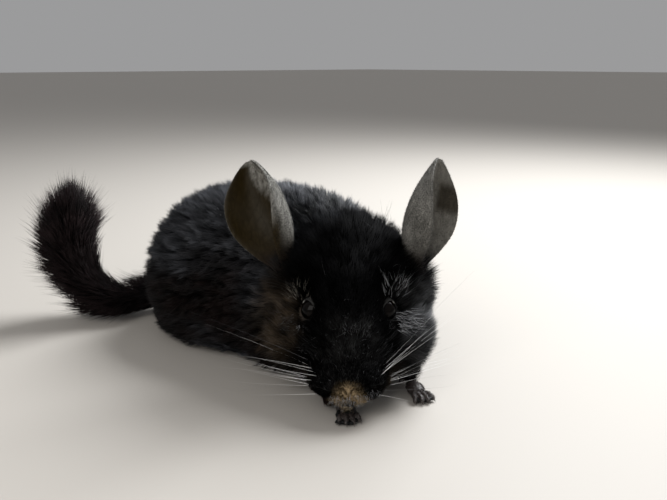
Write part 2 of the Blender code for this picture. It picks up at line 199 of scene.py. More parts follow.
# %% [markdown]
# ## The skin
# Under the coat one skin runs over the whole animal. It could be modelled by hand, but the solids already
# hold every proportion, so their copies are grown until they touch, fused into one form by a voxel
# remesh and softened. Then each point sinks inward by the depth of the coat at that place: over a
# centimetre on the back, a millimetre on the muzzle.

# %% Copy, join and fuse meshes
def merged_form(node, growth=0.0):
    """A copy of a node's mesh with its loose triangles joined up."""
    form = bmesh.new()
    form.from_mesh(frame["nodes"][node].data)
    bmesh.ops.remove_doubles(form, verts=form.verts, dist=0.00001)
    form.normal_update()
    for vert in form.verts:
        vert.co += vert.normal * growth
    return form


def mesh_from(form, name):
    mesh = bpy.data.meshes.new(name)
    form.to_mesh(mesh)
    form.free()
    return mesh


def joined(forms, name):
    """One mesh from several."""
    whole = bmesh.new()
    for form in forms:
        mesh = mesh_from(form, name)
        whole.from_mesh(mesh)
        bpy.data.meshes.remove(mesh)
    return mesh_from(whole, name)


def evaluated_mesh(thing):
    bpy.context.view_layer.update()
    seen = thing.evaluated_get(bpy.context.evaluated_depsgraph_get())
    return bpy.data.meshes.new_from_object(seen)


def fused(mesh, name, voxel, rounds):
    """Voxel remesh and soften a mesh."""
    thing = link(name, mesh)
    remesh = thing.modifiers.new("fuse", "REMESH")
    remesh.mode = "VOXEL"
    remesh.voxel_size = voxel
    soft = thing.modifiers.new("soften", "SMOOTH")
    soft.factor = 0.5
    soft.iterations = rounds
    result = evaluated_mesh(thing)
    bpy.data.objects.remove(thing)
    return result


def keep_largest_body(mesh):
    """Drop small closed bodies, such as a pocket between two solids."""
    form = bmesh.new()
    form.from_mesh(mesh)
    unseen = set(form.verts)
    bodies = []
    while unseen:
        reached = [unseen.pop()]
        body = set(reached)
        while reached:
            for edge in reached.pop().link_edges:
                for vert in edge.verts:
                    if vert in unseen:
                        unseen.discard(vert)
                        body.add(vert)
                        reached.append(vert)
        bodies.append(body)
    bodies.sort(key=len)
    for body in bodies[:-1]:
        bmesh.ops.delete(form, geom=list(body), context="VERTS")
    form.to_mesh(mesh)
    form.free()
    return len(bodies) - 1

# %% Read a mesh as arrays
def coordinates(mesh, what="co"):
    values = np.empty(len(mesh.vertices) * 3)
    mesh.vertices.foreach_get(what, values)
    return values.reshape(-1, 3)


def edges_of(mesh):
    pairs = np.empty(len(mesh.edges) * 2, dtype=np.int32)
    mesh.edges.foreach_get("vertices", pairs)
    return pairs.reshape(-1, 2)


def triangles(mesh):
    return sum(len(face.vertices) - 2 for face in mesh.polygons)

# %% Average and blend over a mesh
def averaged(values, edges, rounds):
    """Average a value at each point with its neighbours, a few times over."""
    flat = values.reshape(len(values), -1).astype(float)
    share = 1.0 / (1.0 + np.bincount(edges.ravel(), minlength=len(flat)))
    for _ in range(rounds):
        total = flat.copy()
        for k in range(flat.shape[1]):
            total[:, k] += np.bincount(edges[:, 0], flat[edges[:, 1], k], len(flat))
            total[:, k] += np.bincount(edges[:, 1], flat[edges[:, 0], k], len(flat))
        flat = total * share[:, None]
    return flat.reshape(values.shape)


def smoothed(points, edges, rounds):
    """Take out small bumps without shrinking the form: one step in, one slightly larger step out."""
    for _ in range(rounds):
        points = points + 0.6 * (averaged(points, edges, 1) - points)
        points = points - 0.63 * (averaged(points, edges, 1) - points)
    return points


def unit(vectors):
    return vectors / np.maximum(np.linalg.norm(vectors, axis=-1, keepdims=True), 1e-9)


def ramp(value, start, end):
    """0 before start, 1 after end, and smooth between."""
    t = np.clip((value - start) / (end - start), 0, 1)
    return t * t * (3 - 2 * t)

# %% Fuse copies of the solids
FUR_NODES = {
    "trunk": ["chest", "abdomen", "rump", "thigh_left", "thigh_right", "upper_arm_left", "upper_arm_right"],
    "nape": ["neck"],
    "shank": ["shank_left", "shank_right"],
    "arm": ["forearm_left", "forearm_right"],
    "tail": ["tail_base", "tail_middle", "tail_tip"],
    "head": ["head", "eye_left", "eye_right"],
    "chin": ["lower_jaw"],
    "foot": ["forepaw_left", "forepaw_right", "hind_foot_left", "hind_foot_right"],
}
REGIONS = list(FUR_NODES)
GROWTH = 0.0009
SKIN_VOXEL = 0.0016
# Each round splits the faces in front of a place on the head's length, in centimetres, near its middle line
FINE_MUZZLE = (-1.0, -2.3)
MUZZLE_HALF_WIDTH = 2.2

# The eyes and feet are in it too, so that no hollow is left in the skin behind or above them
all_nodes = [node for nodes in FUR_NODES.values() for node in nodes]
hull = fused(joined([merged_form(n, GROWTH) for n in all_nodes], "skin"), "skin", SKIN_VOXEL, 6)
dropped = keep_largest_body(hull)


def refined(mesh, front_of):
    """Split each face of the muzzle in four."""
    form = bmesh.new()
    form.from_mesh(mesh)
    centres = head_coordinates(np.array([face.calc_center_median() for face in form.faces]))
    near = (centres[:, 1] < front_of) & (np.abs(centres[:, 0]) < MUZZLE_HALF_WIDTH) & (centres[:, 2] < 0)
    chosen = {edge for face, wanted in zip(form.faces, near) if wanted for edge in face.edges}
    bmesh.ops.subdivide_edges(form, edges=list(chosen), cuts=1, use_grid_fill=True)
    bmesh.ops.triangulate(form, faces=[face for face in form.faces if len(face.verts) > 4])
    form.to_mesh(mesh)
    form.free()


for front_of in FINE_MUZZLE:
    refined(hull, front_of)
print("skin:", len(hull.vertices), "points;", dropped, "pockets dropped")

# %% [markdown]
# ## How deep the coat is, and which way it lies
# Each point of the skin takes the region of the solid that it lies on. From that come the depth of the
# coat, how far the hair stands up, and the way it runs: backward over the head and trunk, along the tail
# to its tip, down the legs. Averaging over neighbours lets one region pass gently into the next.

# %% Read the regions of the skin
samples, shell_points, shell_faces = [], [], []
for index, region in enumerate(REGIONS):
    for node in FUR_NODES[region]:
        mesh = frame["nodes"][node].data
        samples += [(vert.co.copy(), index) for vert in mesh.vertices]
        samples += [(face.center.copy(), index) for face in mesh.polygons]
        shell_faces += [[len(shell_points) + v for v in face.vertices] for face in mesh.polygons]
        shell_points += [vert.co.copy() for vert in mesh.vertices]
finder = kdtree.KDTree(len(samples))
for place, (point, _) in enumerate(samples):
    finder.insert(point, place)
finder.balance()
shell = BVHTree.FromPolygons(shell_points, shell_faces)

edges = edges_of(hull)
outer = coordinates(hull)
# The softening drew the form in a little, so it goes back out to the solids' own surface
outer = np.array([shell.find_nearest(point)[0] for point in outer])
outer = smoothed(averaged(outer, edges, 1), edges, 12)
label = np.array([samples[finder.find(point)[1]][1] for point in outer])
weights = averaged(np.eye(len(REGIONS))[label], edges, 12)
print({region: int((label == i).sum()) for i, region in enumerate(REGIONS)})

# %% Depth, lift and lie of the coat
# Coat depth in centimetres and the angle at which the hair leaves the skin, for each region
COAT = {
    "trunk": (1.15, 72), "nape": (0.95, 62), "shank": (0.75, 42), "arm": (0.32, 30),
    "tail": (1.05, 40), "head": (0.45, 40), "chin": (0.18, 26), "foot": (0.22, 30),
}
# On the head both change along its length: place from the nose back, depth, angle
HEAD_COAT = np.array([
    (-3.6, 0.09, 24), (-2.6, 0.12, 24), (-1.5, 0.20, 28), (0.0, 0.30, 34),
    (1.5, 0.50, 44), (3.5, 0.85, 54), (6.0, 0.95, 56),
])
TAIL_PATH = np.array([
    (0.1, 10.2, 3.0), (-2.2, 10.6, 1.9), (-4.5, 11.2, 1.3), (-6.1, 12.1, 1.7), (-7.0, 12.9, 2.9),
    (-7.5, 13.4, 4.7), (-7.3, 13.3, 6.4), (-7.2, 13.2, 7.7), (-7.1, 13.1, 8.4),
])
# Hair starts this far from the middle of an eye, in centimetres, and turns away from it within the second
EYE_CLEAR = (0.78, 1.35)
EYE_COAT = 0.14
# The belly is squeezed thin against the floor: the share that its coat loses in depth and in angle
BELLY_THINNER, BELLY_FLATTER = 0.45, 0.55
BACKWARD = (0, 1.0, -0.35)
FORWARD_DOWN = (-0.2, -0.85, -0.5)
# On the head hair runs back, spreads to the sides, rises with its height, and turns away from the eyes
HEAD_SPREAD, HEAD_RISE, EYE_TURN = 0.16, 0.10, 1.6


def weight_of(*regions):
    return weights[:, [REGIONS.index(region) for region in regions]].sum(axis=1)


def along_path(steps, values):
    """Rows of values, read at steps between them."""
    return np.stack([np.interp(steps, range(len(values)), column) for column in np.transpose(values)], axis=1)


def along_tail(points):
    """The way the tail runs at each point."""
    path = np.array([placed(*p) for p in TAIL_PATH])
    fine = np.linspace(0, len(path) - 1, 60)
    line = along_path(fine, path)
    heading = unit(along_path(fine, unit(np.gradient(path, axis=0))))
    return heading[np.argmin(((points[:, None] - line[None]) ** 2).sum(axis=2), axis=1)]


def to_nearer_eye(points):
    """How far each point in the head frame lies from the nearer eye, and the way from that eye to it."""
    centres = np.tile(EYE_CENTRE, (len(points), 1))
    centres[:, 0] *= np.sign(points[:, 0])
    return np.linalg.norm(points - centres, axis=1), unit(points - centres)


def coat_value(k):
    """Depth (0) or angle (1) of the coat at every point, from its region and the head's own table."""
    on_length = np.interp(head_place[:, 1], HEAD_COAT[:, 0], HEAD_COAT[:, k + 1])
    return weights @ np.array([COAT[region][k] for region in REGIONS]) + on_head * (on_length - COAT["head"][k])


head_place = head_coordinates(outer)
on_head = weight_of("head")
depth, lift = coat_value(0), coat_value(1)
eye_gap, from_eye = to_nearer_eye(head_place)
near_eye = on_head * (1 - ramp(eye_gap, *EYE_CLEAR))
depth = depth * (1 - near_eye) + EYE_COAT * near_eye
facing_down = -coordinates(hull, "normal")[:, 2]
belly = ramp(facing_down, 0.5, 0.9) * ramp(0.012 - outer[:, 2], 0, 0.006)
depth = averaged(depth * (1 - BELLY_THINNER * belly), edges, 6) * CM
lift = np.radians(averaged(lift * (1 - BELLY_FLATTER * belly), edges, 6))

from_nose = [head_place[:, 0] * HEAD_SPREAD, np.ones(len(outer)), HEAD_RISE * (head_place[:, 2] + 1.5)]
over_head = (unit(np.stack(from_nose, axis=1)) + EYE_TURN * near_eye[:, None] * from_eye) @ HEAD_AXES.T
RUNS = {
    "trunk": BACKWARD, "nape": BACKWARD, "shank": BACKWARD, "arm": FORWARD_DOWN,
    "tail": along_tail(outer), "head": over_head, "chin": over_head, "foot": BACKWARD,
}
ways = sum(weight_of(region)[:, None] * unit(np.broadcast_to(way, outer.shape)) for region, way in RUNS.items())
ways = averaged(ways, edges, 8)
print("coat depth", mm(depth.min()), "to", mm(depth.max()), "mm")

# %% [markdown]
# ## Sinking the skin
# One big step inward would fold the surface over itself where it is tight, as at the cheeks. Several small
# steps, each with fresh normals and a little averaging, keep it clean. The averaging is weaker on the
# head, so that the muzzle keeps its blunt shape.

# %% Sink the skin under the coat
SINKING_STEPS = 6
# How strongly each step averages the body and the head
SETTLING, HEAD_SETTLING = 0.5, 0.12
SKIN_OFF_FLOOR = 0.0012
BELLY_LIFT = 0.0038
LOW_EDGE_ROUNDS = 16


def with_points(mesh, points):
    """Move a mesh's points, and give its new normals."""
    mesh.vertices.foreach_set("co", np.ascontiguousarray(points, dtype=np.float32).ravel())
    mesh.update()
    return coordinates(mesh, "normal")


points = outer.copy()
settling = (SETTLING + (HEAD_SETTLING - SETTLING) * on_head)[:, None]
for _ in range(SINKING_STEPS):
    outward = unit(averaged(with_points(hull, points), edges, 3))
    points = points - outward * (depth / SINKING_STEPS)[:, None]
    points = points + settling * (averaged(points, edges, 1) - points)
points = smoothed(points, edges, 4)
# The lower edge of the trunk is drawn in and lifted, so that the coat hangs over it
on_body = weight_of("trunk", "shank")
low = on_body * ramp(0.016 - points[:, 2], 0, 0.006)
for _ in range(2):
    points = points + low[:, None] * (averaged(points, edges, LOW_EDGE_ROUNDS) - points)
points[:, 2] = np.maximum(points[:, 2], SKIN_OFF_FLOOR + BELLY_LIFT * on_body)
normals = with_points(hull, points)
sunk = np.clip(((outer - points) * normals).sum(axis=1), 0.7 * depth, 2.0 * depth)
print("sunk by", mm(sunk.min()), "to", mm(sunk.max()), "mm")

# %% [markdown]
# ## Nose and mouth
# The naked nose has two comma-shaped nostrils, and a cleft runs from between them to the mouth. The full
# upper lips stand forward on each side of it. They could be cut with booleans, but pressing soft
# grooves and pads into the fine mesh keeps the skin in one piece. Each is given by its place as it shows
# when one looks straight at the nose from 30 degrees above it.

# %% Press the nose and mouth into the skin
LOOK_DOWN = math.radians(30)
LOOK = np.array([0, -math.cos(LOOK_DOWN), math.sin(LOOK_DOWN)])
LOOK_UP = np.array([0, math.sin(LOOK_DOWN), math.cos(LOOK_DOWN)])
# Lines as (sideways, up) from between the eyes in centimetres, then width and depth of the groove
NOSTRIL = ([(0.10, -3.70), (0.15, -3.56), (0.26, -3.46), (0.38, -3.47)], 0.045, 0.11)
CLEFT = ([(0.0, -3.70), (0.0, -4.20)], 0.035, 0.07)
MOUTH = ([(0.0, -4.22), (0.40, -4.36), (0.80, -4.30), (1.25, -3.90)], 0.050, 0.10)
# Widths of the painted shade along the nostrils and along the cleft and mouth
NOSTRIL_SHADE, MOUTH_SHADE = 0.05, 0.035
# Pads as place, radius and height
NOSE_PAD = ((0.0, -3.58), 0.30, 0.03)
NOSTRIL_WING = ((0.30, -3.56), 0.14, 0.03)
UPPER_LIP = ((0.42, -4.04), 0.40, 0.10)


def face_place(points):
    """Where points of the head show when one looks at its nose: sideways and up."""
    head = head_coordinates(points)
    return np.stack([np.abs(head[:, 0]), head @ LOOK_UP], axis=1)


def near_line(place, line, width):
    """1 on a line of several stretches, fading to 0 on both sides of it."""
    gap = np.full(len(place), np.inf)
    for a, b in zip(np.array(line[:-1]), np.array(line[1:])):
        share = np.clip(((place - a) @ (b - a)) / ((b - a) @ (b - a)), 0, 1)
        gap = np.minimum(gap, np.linalg.norm(place - a - share[:, None] * (b - a), axis=1))
    return np.exp(-((gap / width) ** 2))


def pad(place, centre, radius, height):
    return height * np.exp(-((np.linalg.norm(place - np.array(centre), axis=1) / radius) ** 2))


seen = face_place(points)
in_front = ramp((normals @ HEAD_AXES) @ LOOK, 0.0, 0.35) * (head_coordinates(points)[:, 1] < -1.5)
relief = sum(-deep * near_line(seen, line, width) for line, width, deep in (NOSTRIL, CLEFT, MOUTH))
relief = relief + sum(pad(seen, *place) for place in (NOSE_PAD, NOSTRIL_WING, UPPER_LIP))
points = points + normals * (relief * in_front * CM)[:, None]
normals = with_points(hull, points)
# Painted shade: the nostrils and the lines of the cleft and the mouth are darkened in their grooves
nostril_painted_shade = near_line(seen, NOSTRIL[0], NOSTRIL_SHADE) * in_front
mouth_painted_shade = np.maximum(*(near_line(seen, line[0], MOUTH_SHADE) for line in (CLEFT, MOUTH))) * in_front
print("deepest groove", mm((relief * in_front).min() * CM), "mm")

# %% [markdown]
# ## Ears
# A chinchilla's ear is a large thin leaf of almost naked skin, curled about its length: a broad back wall, a
# fold, and a narrow flap in front of it that shows its downy outside. A curled sheet could come from
# bending a plane by hand; here each row of points across the ear is worked out from how far its
# stretches turn at the root and at the tip.

# %% Leaves of the ears
EAR_LENGTH = 5.9
EAR_GIRTH = 5.95
EAR_WALL = 0.08
# Across the ear: share of its girth, and how far it turns at the root and at the tip, in degrees
EAR_SECTION = ((0.46, 42.0, 26.0), (0.24, 120.0, 82.0), (0.24, 14.0, 4.0), (0.06, 60.0, 40.0))
# Root in the head frame, lean, turn about its own length, and how blunt its tip is
EARS = {
    "ear_right": ((-3.12, 2.0, 0.9), (-0.36, 0.50, 0.92), -35.0, 5.5),
    "ear_left": ((3.12, 2.0, 0.9), (0.25, 0.50, 0.92), -14.0, 2.5),
}
ACROSS, ALONG = 41, 48
# The leaf ends just before its width runs out, so that its tip is round
EAR_END = 0.996


def curled_section(width, t, offset):
    """Points across the ear at a share t of its length, from the outer rim to the inner one."""
    shares = np.cumsum([0.0] + [share for share, _, _ in EAR_SECTION])
    turns = np.cumsum([0.0] + [root + (tip - root) * t for _, root, tip in EAR_SECTION])
    heading = np.radians(np.interp(np.linspace(0, 1, ACROSS), shares, turns))
    middle = (heading[:-1] + heading[1:]) / 2
    x, y = (np.append(0, np.cumsum(part(middle) * width / (ACROSS - 1))) for part in (np.cos, np.sin))
    return -(x - x.mean() - np.sin(heading) * offset), y - y.mean() + np.cos(heading) * offset


def ear_width(t, bluntness):
    """Across the flattened ear at a share t of its length: narrow root, broad middle, blunt tip."""
    width = EAR_GIRTH * (0.10 + 2.95 * t - 2.65 * t**2) * (1 - t**bluntness) ** 0.5 + 0.10
    return width * (1 + 0.006 * math.sin(19 * t))


def leaf_faces():
    """Faces of both sides of a leaf and of its rim; the points of the back follow those of the inside."""
    behind = ACROSS * ALONG
    faces = []
    for i in range(ALONG - 1):
        for j in range(ACROSS - 1):
            a = i * ACROSS + j
            b, c, d = a + ACROSS, a + ACROSS + 1, a + 1
            faces += [(a, b, c, d), tuple(v + behind for v in (a, d, c, b))]
        for j in (0, ACROSS - 1):
            a, b = i * ACROSS + j, (i + 1) * ACROSS + j
            faces.append((a, a + behind, b + behind, b))
    for j in range(ACROSS - 1):
        for i in (0, ALONG - 1):
            a = i * ACROSS + j
            faces.append((a, a + 1, a + 1 + behind, a + behind))
    return faces


def ear_leaf(name):
    """A closed leaf; for each point its share across and along, and 1 on the inside; and the way it points."""
    root, way, spin, bluntness = EARS[name]
    side = 1 if name == "ear_left" else -1
    up = (Matrix(HEAD_AXES) @ Vector(way)).normalized()
    front = Matrix.Rotation(HEAD_TURN + side * math.radians(spin), 3, "Z") @ Vector((0, -1, 0))
    front = (front - up * front.dot(up)).normalized()
    out = front.cross(up) * -side
    share = np.linspace(0, 1, ACROSS)
    rounding = np.sqrt(1 - 0.96 * np.abs(2 * share - 1) ** 10)
    form = bmesh.new()
    verts, facts = [], []
    for inside in (1, 0):
        for i in range(ALONG):
            t = EAR_END * math.sin(0.5 * math.pi * i / (ALONG - 1))
            wall = EAR_WALL * (1 + 1.5 * (1 - t) ** 4) * rounding / 2
            x, y = curled_section(ear_width(t, bluntness), t, wall if inside else -wall)
            ripple = 0.025 * np.sin(6 * share + 5 * t) * t
            for s, a, b in zip(share, x, y + ripple):
                verts.append(form.verts.new(in_head(*root) + (up * (t * EAR_LENGTH) + out * a + front * b) * CM))
                facts.append((s, t, inside))
    for face in leaf_faces():
        form.faces.new([verts[v] for v in face])
    bmesh.ops.recalc_face_normals(form, faces=form.faces)
    if form.calc_volume(signed=True) < 0:
        bmesh.ops.reverse_faces(form, faces=form.faces)
    return mesh_from(form, name), np.array(facts), np.array(up)


print("one side of an ear:", ACROSS, "by", ALONG, "points")

# %% [markdown]
# ## Eyelids
# A naked pale grey rim goes round each eye, drawn to a corner towards the nose, with a fold outside it. It
# is a ring whose section is given by the angle from the eye's own axis and the distance from its middle.
# The ring is buried in the face at its outer side and behind the eyeball's surface at its inner side.

# %% Rings of the lids
EYE_AXIS = (0.78, -0.60, 0.15)
EYE_RADIUS = 0.60
LID_OPENING = 64.0
# Section of a lid: degrees outside the opening, distance from the eye's middle in centimetres
LID_SECTION = [
    (40, 0.600), (30, 0.655), (22, 0.668), (16, 0.648), (10, 0.662), (5, 0.656), (1, 0.636), (0, 0.616),
    (4, 0.598), (16, 0.575), (36, 0.560),
]
LID_AROUND = 56
# The corner towards the nose and down: its place round the eye, width and reach in degrees
CORNER_PLACE, CORNER_WIDTH, CORNER_REACH = math.radians(200), 0.30, 11


def eye_frame(side):
    """Across, up and outward directions of an eye, in the model's frame."""
    axis = unit(HEAD_AXES @ np.array([side * EYE_AXIS[0], EYE_AXIS[1], EYE_AXIS[2]]))
    upward = HEAD_AXES @ np.array([0, 0, 1.0])
    upward = unit(upward - axis * (upward @ axis))
    return np.cross(upward, axis) * side, upward, axis


def bridge(form, rings, capped=True):
    """Faces from each ring of points to the next, and over both ends where they are capped."""
    for low, high in zip(rings[:-1], rings[1:]):
        for k in range(len(low)):
            n = (k + 1) % len(low)
            form.faces.new((low[k], high[k], high[n], low[n]))
    if capped:
        form.faces.new(rings[0])
        form.faces.new(rings[-1])
    bmesh.ops.recalc_face_normals(form, faces=form.faces)


def lid_ring(name, side):
    """A lid; for each point the share of its way outward, and how far it lies to the temple and down."""
    across, upward, axis = eye_frame(side)
    centre = np.array(middle_of(name))
    form = bmesh.new()
    rings, shares, temple_side = [], [], []
    edge = LID_SECTION.index(min(LID_SECTION))
    for k in range(LID_AROUND):
        turn = 2 * math.pi * k / LID_AROUND
        sideways, height = math.cos(turn), math.sin(turn)
        corner = CORNER_REACH * math.exp(-(((turn - CORNER_PLACE) / CORNER_WIDTH) ** 2))
        # The opening is a little longer than high, and the lid hangs a little at the top
        corner += 3 * sideways**2 - 3 * max(height, 0)
        rings.append([])
        for j, (degrees, distance) in enumerate(LID_SECTION):
            angle = math.radians(LID_OPENING + degrees + corner * max(0, 1 - degrees / 30))
            way = axis * math.cos(angle) + (across * sideways + upward * height) * math.sin(angle)
            rings[-1].append(form.verts.new(centre + way * distance * CM))
            shares.append(degrees / 40 if j < edge else 0.0)
            temple_side.append(0.7 * sideways - 0.7 * height)
    bridge(form, rings + rings[:1], capped=False)
    return mesh_from(form, name + "_lid"), np.array(shares), np.array(temple_side)


print("a lid:", LID_AROUND * len(LID_SECTION), "points")

# %% [markdown]
# ## Colours
# The animal is black all over: a warmer brown black on the tail and cheeks, and a tan patch of very short hair round
# the nose.
# The back is a lighter bluish black where it faces up, a painted sheen, and the flanks and belly a warm black where
# they face sideways and down, painted shade; the left cheek has a bluish grey painted sheen. Skin and fur read the same
# colour, kept at each point of the skin under the name tint.

# %% Tint
BLACK = np.array([0.0028, 0.0028, 0.0029])
# Painted sheen: the lighter bluish black of the back where it faces up
PAINTED_SHEEN_BLUE = np.array([0.0330, 0.0345, 0.0390])
BROWN_BLACK = np.array([0.0120, 0.0078, 0.0080])
# Painted shade: the warm black of the flanks and belly where they face sideways and down
PAINTED_SHADE_BLACK = np.array([0.0046, 0.0022, 0.0019])
CHEEK_BROWN = np.array([0.050, 0.037, 0.025])
# Painted sheen: the bluish grey of the left cheek, where the light falls
CHEEK_PAINTED_SHEEN = np.array([0.064, 0.065, 0.067])
BRIDGE_GREY = np.array([0.015, 0.015, 0.0145])
NOSE_TAN = np.array([0.30, 0.218, 0.122])
LIP_PALE = np.array([0.50, 0.42, 0.30])
# Painted shade in the nostrils and along the cleft and mouth
GROOVE_PAINTED_SHADE = np.array([0.012, 0.006, 0.005])
LID_GREY = np.array([0.84, 0.83, 0.78])
# The olive brown of the ear's skin, darkened as painted shade
EAR_SHADED_OLIVE = np.array([0.0185, 0.0120, 0.0028])
EAR_ROOT_TINT = np.array([0.014, 0.009, 0.007])
EAR_BROWN = np.array([0.085, 0.078, 0.064])
EAR_PALE = np.array([0.36, 0.35, 0.32])
PAW_DARK = np.array([0.050, 0.040, 0.037])
# Half the width of the tan patch by its height on the face
TAN_PATCH = np.array([(-4.55, 0.80), (-4.25, 0.90), (-4.0, 0.80), (-3.75, 0.52), (-3.4, 0.40), (-3.2, 0.25)])
# Middle and radii of each patch of colour on the head, in centimetres; the last lies on both sides
# The left cheek's patch is a painted sheen
SHEEN_ON_LEFT_CHEEK = ((3.1, 0.9, -1.6), (1.3, 2.1, 1.8))
CHEEK_RIGHT = ((-3.0, 0.8, -1.5), (1.4, 2.1, 1.7))
BRIDGE = ((0.0, -1.9, -0.9), (1.3, 0.9, 1.5))
LOW_MUZZLE = ((1.9, -2.3, -2.9), (0.6, 1.0, 0.9))
NAKED_NOSE = 0.24


def mixed(base, colour, share):
    return base + (colour - base) * np.clip(share, 0, 1)[:, None]


def ball_share(points, centre, radii, softness=0.5):
    """1 inside an ellipsoid and 0 outside, smooth over its rim."""
    distance = np.sqrt((((points - np.array(centre)) / np.array(radii)) ** 2).sum(axis=1))
    return 1 - ramp(distance, 1 - softness, 1 + softness)


def patches_of(edges, count, rounds):
    """Soft random patches between 0 and 1 over a mesh; more rounds make them larger."""
    values = averaged(mottling.uniform(0, 1, count), edges, rounds)
    return np.clip(0.5 + 0.3 * (values - values.mean()) / values.std(), 0, 1)


mottling = np.random.default_rng(11)
head = head_coordinates(points)
one_side = np.column_stack([np.abs(head[:, 0]), head[:, 1:]])
body = averaged(weight_of("trunk", "shank") + 0.5 * weight_of("nape"), edges, 40)
tint = np.tile(BLACK, (len(points), 1))
for colour, share in (
    # Painted sheen on the body where it faces up, painted shade where it faces sideways and down
    (PAINTED_SHEEN_BLUE, body * ramp(normals[:, 2], -0.1, 0.45)),
    (PAINTED_SHADE_BLACK, body * ramp(-normals[:, 2], -0.45, 0.05)),
    (BROWN_BLACK, weight_of("tail", "arm", "chin")),
    # Painted sheen on the left cheek
    (CHEEK_PAINTED_SHEEN, 0.8 * ball_share(head, *SHEEN_ON_LEFT_CHEEK)),
    (CHEEK_BROWN, 0.8 * ball_share(head, *CHEEK_RIGHT)),
    (BRIDGE_GREY, 0.8 * ball_share(head, *BRIDGE)),
    (CHEEK_BROWN, 0.5 * ball_share(one_side, *LOW_MUZZLE)),
):
    tint = mixed(tint, colour, share)
tint = tint * (0.35 + 1.3 * patches_of(edges, len(points), 10))[:, None]

# %% The tan patch, the lips and the nostrils
height_seen = seen[:, 1]
inside_edge = np.interp(height_seen, TAN_PATCH[:, 0], TAN_PATCH[:, 1]) - seen[:, 0]
tan_patch = ramp(inside_edge, -0.34, 0.30) * ramp(-height_seen, 3.10, 3.50) * ramp(height_seen, -4.56, -4.40) * in_front
tint = mixed(tint, NOSE_TAN, tan_patch)
tint = mixed(tint, LIP_PALE, 0.7 * tan_patch * ramp(-height_seen, 3.95, 4.25))
# The nostrils, the cleft and the mouth's line are darkened as painted shade in their grooves
tint = mixed(tint, GROOVE_PAINTED_SHADE, np.maximum(0.85 * nostril_painted_shade, 0.55 * mouth_painted_shade))
naked = pad(seen, NOSE_PAD[0], NAKED_NOSE, 1.0) * in_front
print("tan patch:", int((tan_patch > 0.5).sum()), "points")

# %% [markdown]
# ## One skin from its parts
# The trunk's skin, the ears, the lids and the feet become one mesh. Every part brings its colour, the lie and
# length of its hair, and a number that says which part it is, so one planting tree can serve them all.

# %% Feet from a palm and tapering toes
# Wrist or heel, turn in degrees, foot length, width, toes, share of the length that is toe, claw length
FEET = {
    "forepaw_right": ((-3.0, -7.5), -32.0, 1.75, 1.05, 4, 0.42, 0.16),
    "forepaw_left": ((0.95, -8.3), -22.0, 1.75, 1.05, 4, 0.42, 0.16),
    "hind_foot_right": ((-3.0, 8.7), -3.0, 5.6, 1.35, 3, 0.26, 0.26),
    "hind_foot_left": ((3.0, 8.7), 3.0, 5.6, 1.35, 3, 0.26, 0.26),
}
TUBE_AROUND = 12
TUBE_RINGS = 14
# From knuckle to tip: how far aside as a share of the foot's width, and height in centimetres
TOE_ASIDE, TOE_HEIGHTS = (0.30, 0.40, 0.46, 0.50), (0.24, 0.30, 0.17, 0.12)
# Radii as shares of the foot's width
PALM_RADII, TOE_RADII = (0.36, 0.45, 0.36), (0.125, 0.115, 0.11, 0.09)


def ring_of(form, count, spot_at):
    """New points all round, from a function that gives the place at an angle."""
    return [form.verts.new(spot_at(2 * math.pi * k / count)) for k in range(count)]


def tube_form(path, radii, flatness=1.0):
    """A closed round-ended tube along a path, in centimetres of the drawing."""
    steps = np.linspace(0, len(path) - 1, TUBE_RINGS)
    middles = along_path(steps, path)
    form = bmesh.new()
    rings = []
    for i, (middle, radius) in enumerate(zip(middles, np.interp(steps, range(len(path)), radii))):
        ahead = Vector(middles[min(i + 1, TUBE_RINGS - 1)] - middles[max(i - 1, 0)]).normalized()
        sideways = ahead.cross(UP).normalized()
        upward = sideways.cross(ahead) * flatness
        radius *= (0.35, 0.8, 1.0)[min(i, TUBE_RINGS - 1 - i, 2)]
        rings.append(ring_of(form, TUBE_AROUND, lambda angle: placed(
            *(Vector(middle) + (sideways * math.cos(angle) + upward * math.sin(angle)) * radius))))
    bridge(form, rings)
    return form


def toe_line(name, i):
    """Knuckle, joint and tip of one toe, in centimetres from the wrist, before the foot is turned."""
    _, _, length, width, toes, toe_share, _ = FEET[name]
    fan = (i - (toes - 1) / 2) / ((toes - 1) / 2)
    toe_end = length * (1 - 0.10 * fan**2)
    palm = length * (1 - toe_share)
    along = (palm * 0.85, palm * 0.5 + toe_end * 0.5, toe_end * 0.93, toe_end)
    return [(fan * width * aside, -far, height) for aside, far, height in zip(TOE_ASIDE, along, TOE_HEIGHTS)]


def turned(name, spot):
    """A place of a foot, given from its wrist, in the drawing."""
    (x, y), angle = FEET[name][:2]
    c, s = math.cos(math.radians(angle)), math.sin(math.radians(angle))
    return (x + c * spot[0] - s * spot[1], y + s * spot[0] + c * spot[1], spot[2])


def foot_mesh(name, voxel):
    """A palm and its toes, fused, and flat where they meet the floor."""
    _, _, length, width, toes, toe_share, _ = FEET[name]
    palm = length * (1 - toe_share)
    thick = width * 0.30
    line = [(0, 0, thick * 1.1), (0, -palm * 0.55, thick), (0, -palm, 0.22)]
    forms = [tube_form([turned(name, spot) for spot in line], [width * share for share in PALM_RADII], 0.62)]
    for i in range(toes):
        toe = [turned(name, spot) for spot in toe_line(name, i)]
        forms.append(tube_form(toe, [width * share for share in TOE_RADII]))
    foot = fused(joined(forms, name), name, voxel, 3)
    flat = coordinates(foot)
    flat[:, 2] = np.maximum(flat[:, 2], 0.0)
    with_points(foot, flat)
    return foot


print("feet:", list(FEET))

# %% Gather the parts
COAT_ZONE, EAR_OUTSIDE, EAR_INSIDE, LID, PAW = range(5)
PAW_VOXEL = {"forepaw_left": 0.00042, "forepaw_right": 0.00042, "hind_foot_left": 0.00070, "hind_foot_right": 0.00070}
PAW_HAIR = 0.13
